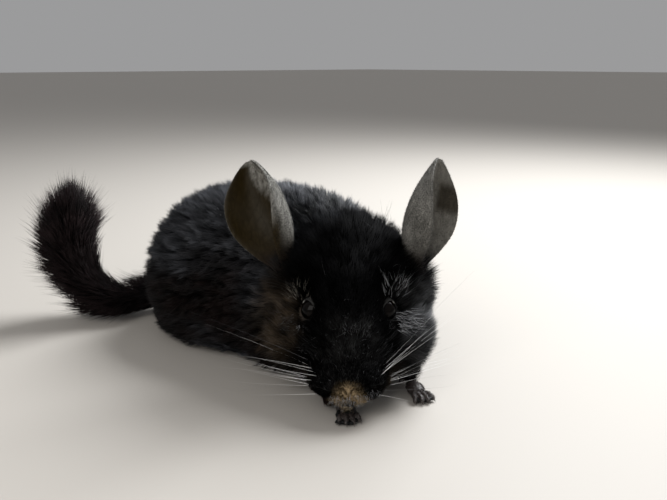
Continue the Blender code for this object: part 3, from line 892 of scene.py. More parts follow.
# Longer hair fills the valley between muzzle and cheek, stands round the roots of the ears, and fluffs the
# cheeks: middle, radii and added depth in centimetres
LONGER_HAIR = (
    ((1.95, -0.7, -2.2), (1.1, 1.5, 1.2), 0.50),
    ((3.1, 1.5, 1.3), (1.6, 1.5, 1.5), 0.95),
    ((2.9, 0.8, -1.9), (1.5, 1.8, 1.7), 0.30),
)
gathered = []


def gather(mesh, zone, tint, ways, lift, reach):
    """Keep a part of the skin; values may be one for all its points or one for each."""
    count = len(mesh.vertices)
    gathered.append({
        "mesh": mesh,
        "points": coordinates(mesh),
        "faces": [tuple(face.vertices) for face in mesh.polygons],
        "zone": np.broadcast_to(zone, count),
        "tint": np.broadcast_to(tint, (count, 3)),
        "ways": np.broadcast_to(ways, (count, 3)),
        "lift": np.broadcast_to(lift, count),
        "reach": np.broadcast_to(reach, count),
    })


fluff = sum(extra * ball_share(one_side, centre, radii, 0.6) for centre, radii, extra in LONGER_HAIR)
fluff = fluff * weight_of("head")
lift = lift + np.radians(22) * ramp(fluff, 0.1, 0.5)
gather(hull, COAT_ZONE, tint, ways, lift, (sunk + fluff * CM) / np.sin(lift))

# %% Colour and hair of the ears
EAR_HAIR = 0.085
EAR_HAIR_LIFT = math.radians(58)
# The left ear's back lies in the light, so its own colour is the darker
LEFT_BACK_SHARE = 0.7
ear_rims = []


def ear_tints(name, leaf, share, t):
    """Colours of the inside and of the outside, and how near each point is to the pale rolled rim."""
    blotch = 0.5 + 0.5 * np.sin(11 * share + 3 * t) * np.sin(9 * t + 2 * share)
    outside = mixed(np.tile(EAR_PALE, (len(t), 1)), EAR_BROWN, 0.45 * blotch + 0.35 * ramp(-t, -0.35, 0.0))
    speckle = averaged(mottling.uniform(0.45, 1.55, len(t)), edges_of(leaf), 1)[:, None]
    band_start = 0.58 - 0.26 * ramp(t, 0.35, 0.97)
    near_rim = 0.9 * ramp(share - band_start, -0.02, 0.08) * ramp(-share, -0.96, -0.82)
    near_rim = near_rim + 0.08 * ramp(-share, -0.04, 0.0)
    near_rim = near_rim * ramp(t, 0.15, 0.45) + 0.8 * ramp(t, 0.95, 0.99)
    stipple = np.clip(mottling.normal(0.80, 0.30, len(t)), 0.2, 1.2)
    ridge = 0.05 * np.exp(-(((share - 0.33) / 0.07) ** 2)) * ramp(t, 0.2, 0.5)
    # The right ear's hollow takes the shaded olive: its skin's own olive, darkened as painted shade
    hollow = EAR_SHADED_OLIVE if name == "ear_right" else 0.62 * EAR_BROWN + 0.38 * EAR_PALE
    inside = mixed(np.tile(hollow, (len(t), 1)), EAR_PALE, 0.03 * blotch + ridge + 0.85 * near_rim * stipple)
    if name == "ear_right":
        # Painted shade on the outside of the right ear's fold and flap near its root, and along the flap's rim up to
        # the middle
        band = np.maximum(ramp(1 - share, 0.03, 0.15), ramp(t, 0.35, 0.55)) * ramp(t, 0.10, 0.45)
        outside = mixed(outside, EAR_SHADED_OLIVE * 1.6, (1 - band) * ramp(share, 0.55, 0.70))
    else:
        outside = outside * LEFT_BACK_SHARE
        # A painted shade spot high in the left ear's hollow, by its outer rim
        rim_painted_shade = ramp(0.30 - share, 0.0, 0.08) * ramp(t, 0.52, 0.62) * ramp(-t, -0.86, -0.76)
        inside = mixed(inside, EAR_SHADED_OLIVE, 0.8 * rim_painted_shade)
    return inside, outside * speckle, near_rim


for name in EARS:
    leaf, facts, up_ear = ear_leaf(name)
    share, t, inside = facts.T
    inside_tint, outside_tint, near_rim = ear_tints(name, leaf, share, t)
    ear_tint = inside_tint * inside[:, None] + outside_tint * (1 - inside[:, None])
    ear_tint = mixed(ear_tint, EAR_ROOT_TINT, 0.9 * ramp(-t, -0.30, -0.08))
    over_rim = ramp(share, 0.80, 0.97) * (1 - inside)
    ear_lie = up_ear + 0.9 * np.array(HEAD_AXES[:, 0]) * (1 if name == "ear_left" else -1)
    ear_reach = EAR_HAIR * CM * (1 + 6.0 * ramp(-t, -0.16, -0.03) + 0.5 * over_rim)
    gather(leaf, EAR_OUTSIDE + inside, ear_tint, ear_lie, EAR_HAIR_LIFT, ear_reach)
    ear_rims.append(near_rim)

# %% Colour of the lids and the feet
for name, side in (("eye_left", 1), ("eye_right", -1)):
    ring, outward, temple_side = lid_ring(name, side)
    darkened = 0.92 * ramp(outward, 0.10, 0.30) - 0.5 * np.exp(-(((outward - 0.52) / 0.08) ** 2))
    darkened = np.maximum(darkened, 0.97 * ramp(-temple_side, -0.45, 0.0))
    gather(ring, LID, mixed(np.tile(LID_GREY, (len(outward), 1)), BLACK, darkened), (0, 1, 0), 0.4, 0.001)
for name, voxel in PAW_VOXEL.items():
    paw = foot_mesh(name, voxel)
    sole = ramp(-coordinates(paw, "normal")[:, 2], 0.0, 0.6)
    paw_tint = mixed(np.tile(PAW_DARK, (len(sole), 1)), PAW_DARK * 0.5, sole)
    leg = name.replace("paw", "arm").replace("hind_foot", "shank")
    to_toes = np.array(middle_of(name)) - np.array(middle_of(leg))
    gather(paw, PAW, paw_tint, unit(to_toes * np.array([1, 1, 0])), math.radians(20), PAW_HAIR * CM)
print("parts of the skin:", [len(part["points"]) for part in gathered])

# %% Join the parts
starts = np.cumsum([0] + [len(part["points"]) for part in gathered])
skin_mesh = bpy.data.meshes.new("skin")
skin_faces = [tuple(v + int(start) for v in face) for start, part in zip(starts, gathered) for face in part["faces"]]
KEPT = ("points", "zone", "tint", "ways", "lift", "reach")
points, zone, tint, ways, lift, reach = (np.concatenate([part[key] for part in gathered]) for key in KEPT)
skin_mesh.from_pydata(points.tolist(), [], skin_faces)
skin_mesh.update()
skin_mesh.shade_smooth()
skin = link("skin", skin_mesh)
for part in gathered:
    bpy.data.meshes.remove(part["mesh"])
normals = coordinates(skin_mesh, "normal")
lying = unit(ways - normals * (ways * normals).sum(axis=1)[:, None])
lie = unit(lying * np.cos(lift)[:, None] + normals * np.sin(lift)[:, None])


def store(mesh, name, values, kind):
    """Keep a value at each point of a mesh under a name."""
    layer = mesh.attributes.get(name) or mesh.attributes.new(name, kind, "POINT")
    field = {"FLOAT": "value", "FLOAT_VECTOR": "vector", "FLOAT_COLOR": "color"}[kind]
    layer.data.foreach_set(field, np.ascontiguousarray(values, dtype=np.float32).ravel())


def with_alpha(colours):
    return np.hstack([colours, np.ones((len(colours), 1))])


store(skin_mesh, "tint", with_alpha(tint), "FLOAT_COLOR")
store(skin_mesh, "lie", lie, "FLOAT_VECTOR")
store(skin_mesh, "reach", reach, "FLOAT")
print("skin:", len(points), "points; hair", mm(reach.min()), "to", mm(reach.max()), "mm")

# %% [markdown]
# ## An unwrap of the skin
# A flat map of the skin gives every hair a place for its colour when the model is exported. Each tuft later
# takes a tiny patch of that map at its root.

# %% Unwrap
BAKE_MAP = "OFBake"
for other in bpy.context.view_layer.objects:
    other.select_set(other == skin)
bpy.context.view_layer.objects.active = skin
skin_mesh.uv_layers.new(name=BAKE_MAP)
bpy.ops.object.mode_set(mode="EDIT")
bpy.ops.mesh.select_all(action="SELECT")
bpy.ops.uv.smart_project(angle_limit=math.radians(66), island_margin=0.002)
bpy.ops.object.mode_set(mode="OBJECT")
flat_places = np.empty(len(skin_mesh.loops) * 2)
skin_mesh.uv_layers[BAKE_MAP].data.foreach_get("uv", flat_places)
loop_points = np.empty(len(skin_mesh.loops), dtype=np.int32)
skin_mesh.loops.foreach_get("vertex_index", loop_points)
flat_of_point = np.zeros((len(points), 2))
flat_of_point[loop_points] = flat_places.reshape(-1, 2)
print("unwrapped", skin.name, "from", flat_of_point.min().round(2), "to", flat_of_point.max().round(2))

# %% [markdown]
# ## One tuft
# A hair is far thinner than a pixel, so each little spike stands for a lock of a few hairs. It is a closed
# three-sided form: straight and of four triangles for the dense underfur, bent and of ten for the locks
# whose shape shows. Each has a unit height, because the tree that plants it scales it.

# %% Tuft forms
TUFT_SIDES = 3


def tuft(name, bend):
    """A closed spike one unit high, straight or bent over towards -X."""
    heights = [0.0, 0.55, 1.0] if bend else [0.0, 1.0]
    widths = [0.5, 0.42, 0.0] if bend else [0.5, 0.0]
    form = bmesh.new()
    along = form.verts.layers.float.new("along")
    patch = form.loops.layers.uv.new(BAKE_MAP)
    rings = []
    for height, width in zip(heights, widths):
        rings.append([])
        for k in range(TUFT_SIDES if width else 1):
            angle = 2 * math.pi * (k + 0.5) / TUFT_SIDES
            spot = (width * math.cos(angle) - bend * height**2, width * math.sin(angle), height)
            rings[-1].append(form.verts.new(spot))
            rings[-1][-1][along] = height
    faces = [form.faces.new(list(reversed(rings[0])))]
    for low, high in zip(rings[:-1], rings[1:]):
        for k in range(TUFT_SIDES):
            n = (k + 1) % TUFT_SIDES
            faces.append(form.faces.new((low[k], low[n], *((high[n], high[k]) if len(high) > 1 else high))))
    for face in faces:
        face.smooth = True
        for loop in face.loops:
            x, y, z = loop.vert.co
            turn = math.atan2(y, x) / (2 * math.pi) + 0.5
            loop[patch].uv = (0.1 + 0.8 * turn, 0.1 + 0.8 * z)
    return link(name, mesh_from(form, name))


def collection_of(things, name):
    group = bpy.data.collections.new(name)
    for thing in things:
        group.objects.link(thing)
    return group


STRAIGHT = [tuft("spike_a", 0.0), tuft("spike_b", 0.0)]
BENT = [tuft("lock_a", 1.5), tuft("lock_b", 4.5)]
straight_tufts = collection_of(STRAIGHT, "straight_tufts")
bent_tufts = collection_of(BENT, "bent_tufts")
print("triangles:", [triangles(thing.data) for thing in STRAIGHT + BENT])

# %% [markdown]
# ## Planting the fur
# Combing a quarter of a million tufts by hand isn't possible, and particle hair would be lost on export.
# Geometry Nodes do it as solid mesh: one tree scatters roots over the skin, gathers the tips towards the
# nearest clump, as chinchilla fur parts into small wavy clumps, stands a tuft on each root, and turns all
# of it into real faces.

# %% Helpers for building node trees
def socket(sockets, key):
    """A node's socket by number, or the one in use that has this name."""
    if isinstance(key, int):
        return sockets[key]
    return next(s for s in sockets if s.name == key and s.enabled)


def add(tree, kind, wires=None, **settings):
    """Add a node, set it up, and give its inputs values or links."""
    node = tree.nodes.new(kind)
    for key, value in settings.items():
        setattr(node, key, value)
    for key, source in (wires or {}).items():
        end = socket(node.inputs, key)
        if isinstance(source, bpy.types.NodeSocket):
            tree.links.new(source, end)
        else:
            end.default_value = source
    return node


def new_tree(name, inputs):
    """An empty Geometry Nodes tree with named inputs; gives the tree, its start and its end."""
    tree = bpy.data.node_groups.new(name, "GeometryNodeTree")
    tree.interface.new_socket("Geometry", in_out="INPUT", socket_type="NodeSocketGeometry")
    for label_text, kind in inputs.items():
        tree.interface.new_socket(label_text, in_out="INPUT", socket_type=f"NodeSocket{kind}")
    tree.interface.new_socket("Geometry", in_out="OUTPUT", socket_type="NodeSocketGeometry")
    return tree, add(tree, "NodeGroupInput"), add(tree, "NodeGroupOutput")


def maths(tree, operation, *values):
    return add(tree, "ShaderNodeMath", dict(enumerate(values)), operation=operation).outputs[0]


def vectors(tree, operation, *values):
    node = add(tree, "ShaderNodeVectorMath", operation=operation)
    for k, value in enumerate(values):
        slot = 3 if operation == "SCALE" and k == 1 else k
        if isinstance(value, bpy.types.NodeSocket):
            tree.links.new(value, node.inputs[slot])
        else:
            node.inputs[slot].default_value = value
    return node.outputs["Value" if operation in ("LENGTH", "DOT_PRODUCT") else "Vector"]


def named(tree, name, kind="FLOAT"):
    node = add(tree, "GeometryNodeInputNamedAttribute", {"Name": name}, data_type=kind)
    return socket(node.outputs, "Attribute")


def keeping(tree, geometry, name, value, kind, domain="POINT"):
    """The geometry with a value stored on it."""
    wires = {"Geometry": geometry, "Name": name, "Value": value}
    return add(tree, "GeometryNodeStoreNamedAttribute", wires, data_type=kind, domain=domain).outputs[0]


def random_vector(tree, size, seed):
    wires = {"Min": (-1, -1, -1), "Max": (1, 1, 1), "Seed": seed}
    node = add(tree, "FunctionNodeRandomValue", wires, data_type="FLOAT_VECTOR")
    return vectors(tree, "SCALE", socket(node.outputs, "Value"), size)


def random_number(tree, low, high, seed):
    node = add(tree, "FunctionNodeRandomValue", {"Min": low, "Max": high, "Seed": seed}, data_type="FLOAT")
    return socket(node.outputs, "Value")

# %% The tree that plants the fur: where each tip comes
FLOOR_CLEARANCE = 0.0023
PATCH_SIZE = 0.003
FANNING = 0.35
CLUMP_SEED = 7
SCATTER = "GeometryNodeDistributePointsOnFaces"
ALIGN = "FunctionNodeAlignRotationToVector"

planting, start, end = new_tree("plant_fur", {
    "Tufts": "Collection", "Tufts per m2": "Float", "Clumps per m2": "Float", "Pull": "Float", "Sway": "Float",
    "Spread": "Float", "Width": "Float", "Length share": "Float", "Seed": "Int", "Material": "Material",
})
plant, number, vector = partial(add, planting), partial(maths, planting), partial(vectors, planting)
asked = start.outputs
position = plant("GeometryNodeInputPosition").outputs[0]
tuft_lie, tuft_reach = named(planting, "lie", "FLOAT_VECTOR"), named(planting, "reach")
density = number("MULTIPLY", named(planting, "here"), asked["Tufts per m2"])
roots = plant(SCATTER, {"Mesh": asked["Geometry"], "Density": density, "Seed": asked["Seed"]})
clumping = {"Mesh": asked["Geometry"], "Density": asked["Clumps per m2"], "Seed": CLUMP_SEED}
clumps = plant(SCATTER, clumping).outputs["Points"]
nearest = plant("GeometryNodeSampleNearest", {"Geometry": clumps}, domain="POINT").outputs[0]


def of_clump(value, kind):
    """A value read at the clump that is nearest to a root."""
    wires = {"Geometry": clumps, "Value": value, "Index": nearest}
    return socket(plant("GeometryNodeSampleIndex", wires, data_type=kind, domain="POINT").outputs, "Value")


def tip_place(looseness, seed):
    """Where the tip of a hair comes, with a random shift of a share of its length."""
    straight = vector("ADD", position, vector("SCALE", tuft_lie, tuft_reach))
    return vector("ADD", straight, random_vector(planting, number("MULTIPLY", tuft_reach, looseness), seed))


own_tip = tip_place(asked["Spread"], 12)
fan = vector("SCALE", vector("SUBTRACT", position, of_clump(position, "FLOAT_VECTOR")), FANNING)
shared_tip = vector("ADD", of_clump(tip_place(asked["Sway"], 11), "FLOAT_VECTOR"), fan)
pulled = vector("SCALE", vector("SUBTRACT", shared_tip, own_tip), asked["Pull"])
tip_way = vector("NORMALIZE", vector("SUBTRACT", vector("ADD", own_tip, pulled), position))
length_share = number("MULTIPLY", asked["Length share"], random_number(planting, 0.8, 1.06, 13))
tuft_length = number("MULTIPLY", tuft_reach, length_share)

# %% No hair goes through the floor
TURNED_UP_SHORTER = -0.7
apart = plant("ShaderNodeSeparateXYZ", {0: tip_way})
root_height = plant("ShaderNodeSeparateXYZ", {0: position}).outputs["Z"]
lowest_z = number("DIVIDE", number("SUBTRACT", FLOOR_CLEARANCE, root_height), tuft_length)
kept_z = number("MINIMUM", number("MAXIMUM", apart.outputs["Z"], lowest_z), 1.0)
# The more a hair was turned up, the shorter it is, so that no skirt of hair lies round the animal
turned_up = number("SUBTRACT", kept_z, apart.outputs["Z"])
tuft_length = number("MULTIPLY", tuft_length, number("MULTIPLY_ADD", turned_up, TURNED_UP_SHORTER, 1.0))
level_share = number("SQRT", number("SUBTRACT", 1.0, number("MULTIPLY", kept_z, kept_z)))
level_part = plant("ShaderNodeCombineXYZ", {"X": apart.outputs["X"], "Y": apart.outputs["Y"]}).outputs[0]
upright_part = plant("ShaderNodeCombineXYZ", {"Z": kept_z}).outputs[0]
tip_way = vector("ADD", vector("SCALE", vector("NORMALIZE", level_part), level_share), upright_part)
print("planting tree so far:", len(planting.nodes), "nodes")

# %% Stand a tuft on each root
# A clump's own share of the shade is the larger, so that light and dark clumps show side by side
shade_of_clump = of_clump(random_number(planting, 0.0, 1.3, 15), "FLOAT")
shade_sum = number("ADD", random_number(planting, 0.0, 0.7, 14), shade_of_clump)
rooted = roots.outputs["Points"]
for name, value, kind in (
    ("root_place", named(planting, BAKE_MAP, "FLOAT_VECTOR"), "FLOAT_VECTOR"),
    ("shade", number("MULTIPLY", shade_sum, 0.5), "FLOAT"),
    ("way", tip_way, "FLOAT_VECTOR"),
    ("tall", tuft_length, "FLOAT"),
    ("outward", roots.outputs["Normal"], "FLOAT_VECTOR"),
):
    rooted = keeping(planting, rooted, name, value, kind)


def without(tree, geometry, *names):
    """The geometry without some of the values stored on it."""
    for name in names:
        geometry = add(tree, "GeometryNodeRemoveAttribute", {"Geometry": geometry, "Name": name}).outputs[0]
    return geometry


def finish_tree(tree, geometry, patch, spare, end, material):
    """Give every face its patch of the flat map and its material, as real faces."""
    place = vectors(tree, "ADD", named(tree, "root_place", "FLOAT_VECTOR"), vectors(tree, "SCALE", patch, PATCH_SIZE))
    solid = without(tree, keeping(tree, geometry, BAKE_MAP, place, "FLOAT2", "CORNER"), "root_place", *spare)
    solid = add(tree, "GeometryNodeRealizeInstances", {"Geometry": solid}).outputs[0]
    solid = add(tree, "GeometryNodeSetMaterial", {"Geometry": solid, "Material": material}).outputs[0]
    tree.links.new(solid, end.inputs[0])


upright = plant(ALIGN, {"Vector": named(planting, "way", "FLOAT_VECTOR")}, axis="Z").outputs[0]
outward = named(planting, "outward", "FLOAT_VECTOR")
rolled = plant(ALIGN, {"Rotation": upright, "Vector": outward}, axis="X", pivot_axis="Z").outputs[0]
width = number("MULTIPLY", asked["Width"], random_number(planting, 0.75, 1.25, 16))
size = plant("ShaderNodeCombineXYZ", {"X": width, "Y": width, "Z": named(planting, "tall")}).outputs[0]
picking = {"Collection": asked["Tufts"], "Separate Children": True, "Reset Children": True}
choice = plant("FunctionNodeRandomValue", {"Min": 0, "Max": 1, "Seed": 17}, data_type="INT")
standing = plant("GeometryNodeInstanceOnPoints", {
    "Points": without(planting, rooted, BAKE_MAP, "lie", "reach", "here"),
    "Instance": plant("GeometryNodeCollectionInfo", picking).outputs[0],
    "Pick Instance": True, "Instance Index": socket(choice.outputs, "Value"),
    "Rotation": rolled, "Scale": size,
}).outputs[0]
solid = plant("GeometryNodeRealizeInstances", {"Geometry": standing}).outputs[0]
on_tuft = named(planting, BAKE_MAP, "FLOAT_VECTOR")
finish_tree(planting, solid, on_tuft, ("way", "tall", "outward"), end, asked["Material"])
print("planting tree:", len(planting.nodes), "nodes")

# %% [markdown]
# ## Materials of skin and fur
# Both read the tint. A lock is dark at its root, where little light reaches, and lighter towards its tip,
# and each lock differs a little from the next. Naked skin has fine creases. The back of an ear is
# mottled and its hollow is smooth.

# %% Colour and grain groups
def new_group(name, inputs, output, kind):
    group = bpy.data.node_groups.new(name, "ShaderNodeTree")
    for label_text, socket_kind in inputs:
        group.interface.new_socket(label_text, in_out="INPUT", socket_type=f"NodeSocket{socket_kind}")
    group.interface.new_socket(output, in_out="OUTPUT", socket_type=f"NodeSocket{kind}")
    return group, add(group, "NodeGroupInput"), add(group, "NodeGroupOutput")


HAIR_INPUTS = (("Tint", "Color"), ("Shade", "Float"), ("Along", "Float"))
colour_group, start, end = new_group("coat_colour", HAIR_INPUTS, "Color", "Color")
number = partial(maths, colour_group)
tipward = number("MULTIPLY_ADD", number("POWER", start.outputs["Along"], 1.6), 1.45, 0.18)
varied = number("MULTIPLY_ADD", start.outputs["Shade"], 2.0, 0.05)
scaled = vectors(colour_group, "SCALE", start.outputs["Tint"], number("MULTIPLY", tipward, varied))
colour_group.links.new(scaled, end.inputs[0])

grain_group, start, end = new_group("skin_grain", (("Vector", "Vector"), ("Scale", "Float")), "Grain", "Float")
number = partial(maths, grain_group)
placing = {"Vector": start.outputs["Vector"], "Scale": start.outputs["Scale"]}
spots = add(grain_group, "ShaderNodeTexNoise", {**placing, "Detail": 3.0}).outputs[0]
creases = add(grain_group, "ShaderNodeTexVoronoi", placing, feature="DISTANCE_TO_EDGE").outputs["Distance"]
grain_group.links.new(number("ADD", spots, number("MINIMUM", creases, 0.25)), end.inputs[0])
print("groups:", colour_group.name, grain_group.name)

# %% Materials of hair and naked skin
SHEEN_ROUGHNESS, SHEEN_TINT = 0.4, (0.85, 0.90, 1.0, 1)
BUMP_STRENGTH = 0.6


def attribute(tree, name, output="Color"):
    return add(tree, "ShaderNodeAttribute", attribute_name=name, attribute_type="GEOMETRY").outputs[output]


def object_place(tree):
    return add(tree, "ShaderNodeTexCoord").outputs["Object"]


def object_noise(tree, scale, detail):
    """Noise that is fixed to the object."""
    wires = {"Vector": object_place(tree), "Scale": scale, "Detail": detail}
    return add(tree, "ShaderNodeTexNoise", wires).outputs[0]


def hair_material(name, roughness, gloss, sheen):
    material, tree, shader = new_material(name, roughness, gloss)
    group = add(tree, "ShaderNodeGroup", node_tree=colour_group)
    for label_text, source, output in (("Tint", "tint", "Color"), ("Shade", "shade", "Fac"), ("Along", "along", "Fac")):
        tree.links.new(attribute(tree, source, output), group.inputs[label_text])
    tree.links.new(group.outputs[0], shader.inputs["Base Color"])
    shader.inputs["Sheen Weight"].default_value = sheen
    shader.inputs["Sheen Roughness"].default_value = SHEEN_ROUGHNESS
    shader.inputs["Sheen Tint"].default_value = SHEEN_TINT
    return material


def naked_material(name, roughness, gloss, scale, stretch, depth, darkest):
    """Skin: the tint times a fine grain, which also makes the bump; stretch draws the grain out."""
    material, tree, shader = new_material(name, roughness, gloss)
    place = add(tree, "ShaderNodeMapping", {"Vector": object_place(tree), "Scale": stretch}).outputs[0]
    grain = add(tree, "ShaderNodeGroup", {"Vector": place, "Scale": scale}, node_tree=grain_group).outputs[0]
    spread = {"Value": grain, "From Min": 0.3, "From Max": 0.9, "To Min": darkest, "To Max": 1.25}
    varied = add(tree, "ShaderNodeMapRange", spread).outputs[0]
    tree.links.new(vectors(tree, "SCALE", attribute(tree, "tint"), varied), shader.inputs["Base Color"])
    bump = add(tree, "ShaderNodeBump", {"Height": grain, "Strength": BUMP_STRENGTH, "Distance": depth})
    tree.links.new(bump.outputs[0], shader.inputs["Normal"])
    return material


fur_material = hair_material("plush_black", 0.45, 0.06, 0.01)
lock_material = hair_material("glossy_black", 0.38, 0.18, 0.015)
face_material = hair_material("velvet_black", 0.55, 0.01, 0.0)
down_material = hair_material("ear_fuzz", 0.55, 0.15, 0.0)
pale_material = hair_material("pale_hair", 0.40, 0.3, 0.0)
skin_materials = [
    naked_material("skin_under_coat", 0.55, 0.2, 1500, (1, 1, 1), 0.00012, 0.5),
    naked_material("ear_back_skin", 0.60, 0.2, 1300, (1, 1, 1), 0.0004, 0.25),
    naked_material("foot_skin", 0.38, 0.5, 1100, (1, 1, 1), 0.0003, 0.45),
    naked_material("ear_hollow_skin", 0.55, 0.06, 420, (1, 1, 0.4), 0.00010, 0.75),
]
for material in skin_materials:
    skin_mesh.materials.append(material)
# The material of each zone: coat, outside and inside of an ear, lid, paw
MATERIAL_OF_ZONE = np.array([0, 1, 3, 0, 2], dtype=np.int32)
first_points = np.array([face[0] for face in skin_faces])
skin_mesh.polygons.foreach_set("material_index", MATERIAL_OF_ZONE[zone[first_points].astype(int)])
print("materials:", [m.name for m in bpy.data.materials])

# %% [markdown]
# ## The coat in pieces
# The trunk has dense short underfur and longer bent locks over it. The face has the finest and shortest
# hair, the tail the longest and loosest. Each piece stays small enough for the library, so the trunk's
# coat is parted across the body, where the locks hide it.

# %% Kinds of hair
PER_CM2 = 10000.0


def made_by(tree, name, data, settings):
    """Run a tree over a mesh and keep its result as one plain piece."""
    carrier = link(name, data)
    making = carrier.modifiers.new("make", "NODES")
    making.node_group = tree
    for item in tree.interface.items_tree:
        if item.in_out == "INPUT" and item.name in settings:
            making[item.identifier] = settings[item.name]
    mesh = evaluated_mesh(carrier)
    carrier.modifiers.clear()
    carrier.data = mesh
    mesh.name = name
    print(f"{name}: {triangles(mesh)} triangles")
    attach(carrier, "root")
    return carrier


def on_skin(values):
    """Values of the coat's points, carried to the whole skin and 0 on its other parts."""
    return np.concatenate([values, np.zeros(len(points) - len(values))])


def strand(base, per_cm2, length, width, seed, **other):
    """Settings of one kind of hair, from those of another."""
    own = {"Tufts per m2": per_cm2 * PER_CM2, "Length share": length, "Width": width / 1000, "Seed": seed}
    return {**base, **own, **other}


# Each kind: tufts on a square centimetre, share of the hair's full length, width in millimetres, seed
clumpy = {"Clumps per m2": 8 * PER_CM2, "Pull": 0.40, "Sway": 0.36, "Spread": 0.13, "Material": fur_material}
underfur = strand(clumpy, 230, 0.94, 0.34, 1, Tufts=straight_tufts)
locks = strand(clumpy, 105, 1.04, 0.42, 2, Tufts=bent_tufts, Pull=0.68, Material=lock_material)
finer = {"Clumps per m2": 14 * PER_CM2, "Pull": 0.12, "Sway": 0.1, "Spread": 0.22, "Material": face_material}
velvet = {**underfur, **finer}
muzzle_fur = strand(velvet, 620, 1.0, 0.24, 3)
crown_fur = strand({**velvet, "Clumps per m2": 7 * PER_CM2}, 400, 1.0, 0.28, 4, Pull=0.30, Sway=0.16, Spread=0.18)
loose = {**locks, "Clumps per m2": 3 * PER_CM2, "Material": fur_material}
tail_fur = strand(loose, 240, 1.28, 0.36, 5, Pull=0.22, Sway=0.30, Spread=0.24)
print("kinds of hair differ in", sorted(underfur))

# %% Where each kind of hair grows
# The trunk's coat is parted at two places along the body, in metres; those of the head are in centimetres
FRONT_END, REAR_START = -0.012, 0.048
MUZZLE_END, EDGE_OF_EYE = 0.4, 0.05
THINNER_ON_BELLY = 0.45
along_body = on_skin(points[: len(weights), 1] - MOVED.y)
left_side = points[:, 0] > MOVED.x
on_trunk = on_skin((weight_of("trunk", "nape", "shank") > 0.5) * (1 - THINNER_ON_BELLY * belly))
on_tail = on_skin(weight_of("tail") > 0.5)
beside_eye = ramp(eye_gap, EYE_CLEAR[0], EYE_CLEAR[0] + EDGE_OF_EYE)
on_face = on_skin((weight_of("head", "chin") > 0.5) * beside_eye * (1 - naked))
on_muzzle = on_face * (on_skin(head[:, 1]) < MUZZLE_END)
on_crown = on_face * (on_skin(head[:, 1]) >= MUZZLE_END)
on_cheek = on_skin(np.clip(fluff / 0.25, 0, 1) * ramp(-head[:, 2], -0.8, 0.1)) * on_face
on_paw = (zone == PAW) * (normals[:, 2] > 0.1)
STRETCHES = {
    "front": along_body < FRONT_END,
    "middle": (along_body >= FRONT_END) & (along_body < REAR_START),
    "rear_left": (along_body >= REAR_START) & left_side,
    "rear_right": (along_body >= REAR_START) & ~left_side,
}
# The back of both ears is downy, and so is the inside of the left one and the rolled rim of the right
is_left_ear = head_coordinates(points)[:, 0] > 0
rim_share = np.zeros(len(points))
first_ear = len(gathered[0]["points"])
rim_share[first_ear : first_ear + sum(map(len, ear_rims))] = np.clip(np.concatenate(ear_rims), 0, 1)
inside_share = np.where(is_left_ear, 0.9, 0.012 + 0.9 * rim_share)
on_ears = (zone == EAR_OUTSIDE) * 1.0 + (zone == EAR_INSIDE) * inside_share
print("fur on", int((on_trunk > 0).sum()), "points of the trunk and", int((on_face > 0).sum()), "of the face")

# %% Plant the pieces of the coat
coat_pieces = []
for stretch, where in STRETCHES.items():
    for kind, settings in (("underfur", underfur), ("locks", locks)):
        coat_pieces.append((f"{kind}_{stretch}", on_trunk * where, "black_fur", settings))
coat_pieces += [
    ("face_fur", on_muzzle, "black_fur", muzzle_fur),
    ("crown_fur", on_crown, "black_fur", crown_fur),
    ("crown_locks", on_crown, "black_fur", strand(crown_fur, 90, 1.15, 0.28, 9, Tufts=bent_tufts)),
    ("cheek_locks", on_cheek, "black_fur", strand(locks, 120, 1.12, 0.30, 12, Sway=0.42, Pull=0.5)),
    ("tail_fur", on_tail, "brown_fur", tail_fur),
    ("tail_guard_hairs", on_tail, "brown_fur", strand(tail_fur, 26, 1.75, 0.2, 6, Pull=0.1)),
    ("arm_fur", on_skin(weight_of("arm") > 0.5), "black_fur", {**crown_fur, "Seed": 7}),
    ("ear_down", on_ears, "ear_skin", strand(muzzle_fur, 420, 1.0, 0.16, 8, Spread=0.75, Material=down_material)),
    ("paw_fur", on_paw, "paw_skin", strand(muzzle_fur, 260, 1.0, 0.2, 10)),
]
for name, where, slot, settings in coat_pieces:
    store(skin_mesh, "here", where, "FLOAT")
    made_by(planting, name, skin_mesh, settings)
for thing in STRAIGHT + BENT:
    bpy.data.objects.remove(thing)
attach(skin, "root")
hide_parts(*[node for node in all_nodes if not node.startswith("eye")], *EARS)

# %% [markdown]
# ## Eyes
# The eyes are large, round and almost black, with a wet surface. A ball with a slightly raised front is
# enough; its colour goes by the angle from its axis: pupil, a very dark brown iris with fine rays, and a
# dark rim.

# %% Eyeballs
BALL_ROWS, BALL_AROUND = 30, 44
CORNEA_RISE = 0.025
# Where the colours of the eye change: share of the way from its axis to its side, and colour
EYE_STOPS = (
    (0.0, (0.0008, 0.0007, 0.0007)), (0.26, (0.0010, 0.0008, 0.0007)), (0.32, (0.0030, 0.0018, 0.0012)),
    (0.58, (0.0024, 0.0015, 0.0012)), (0.70, (0.0010, 0.0008, 0.0008)),
)


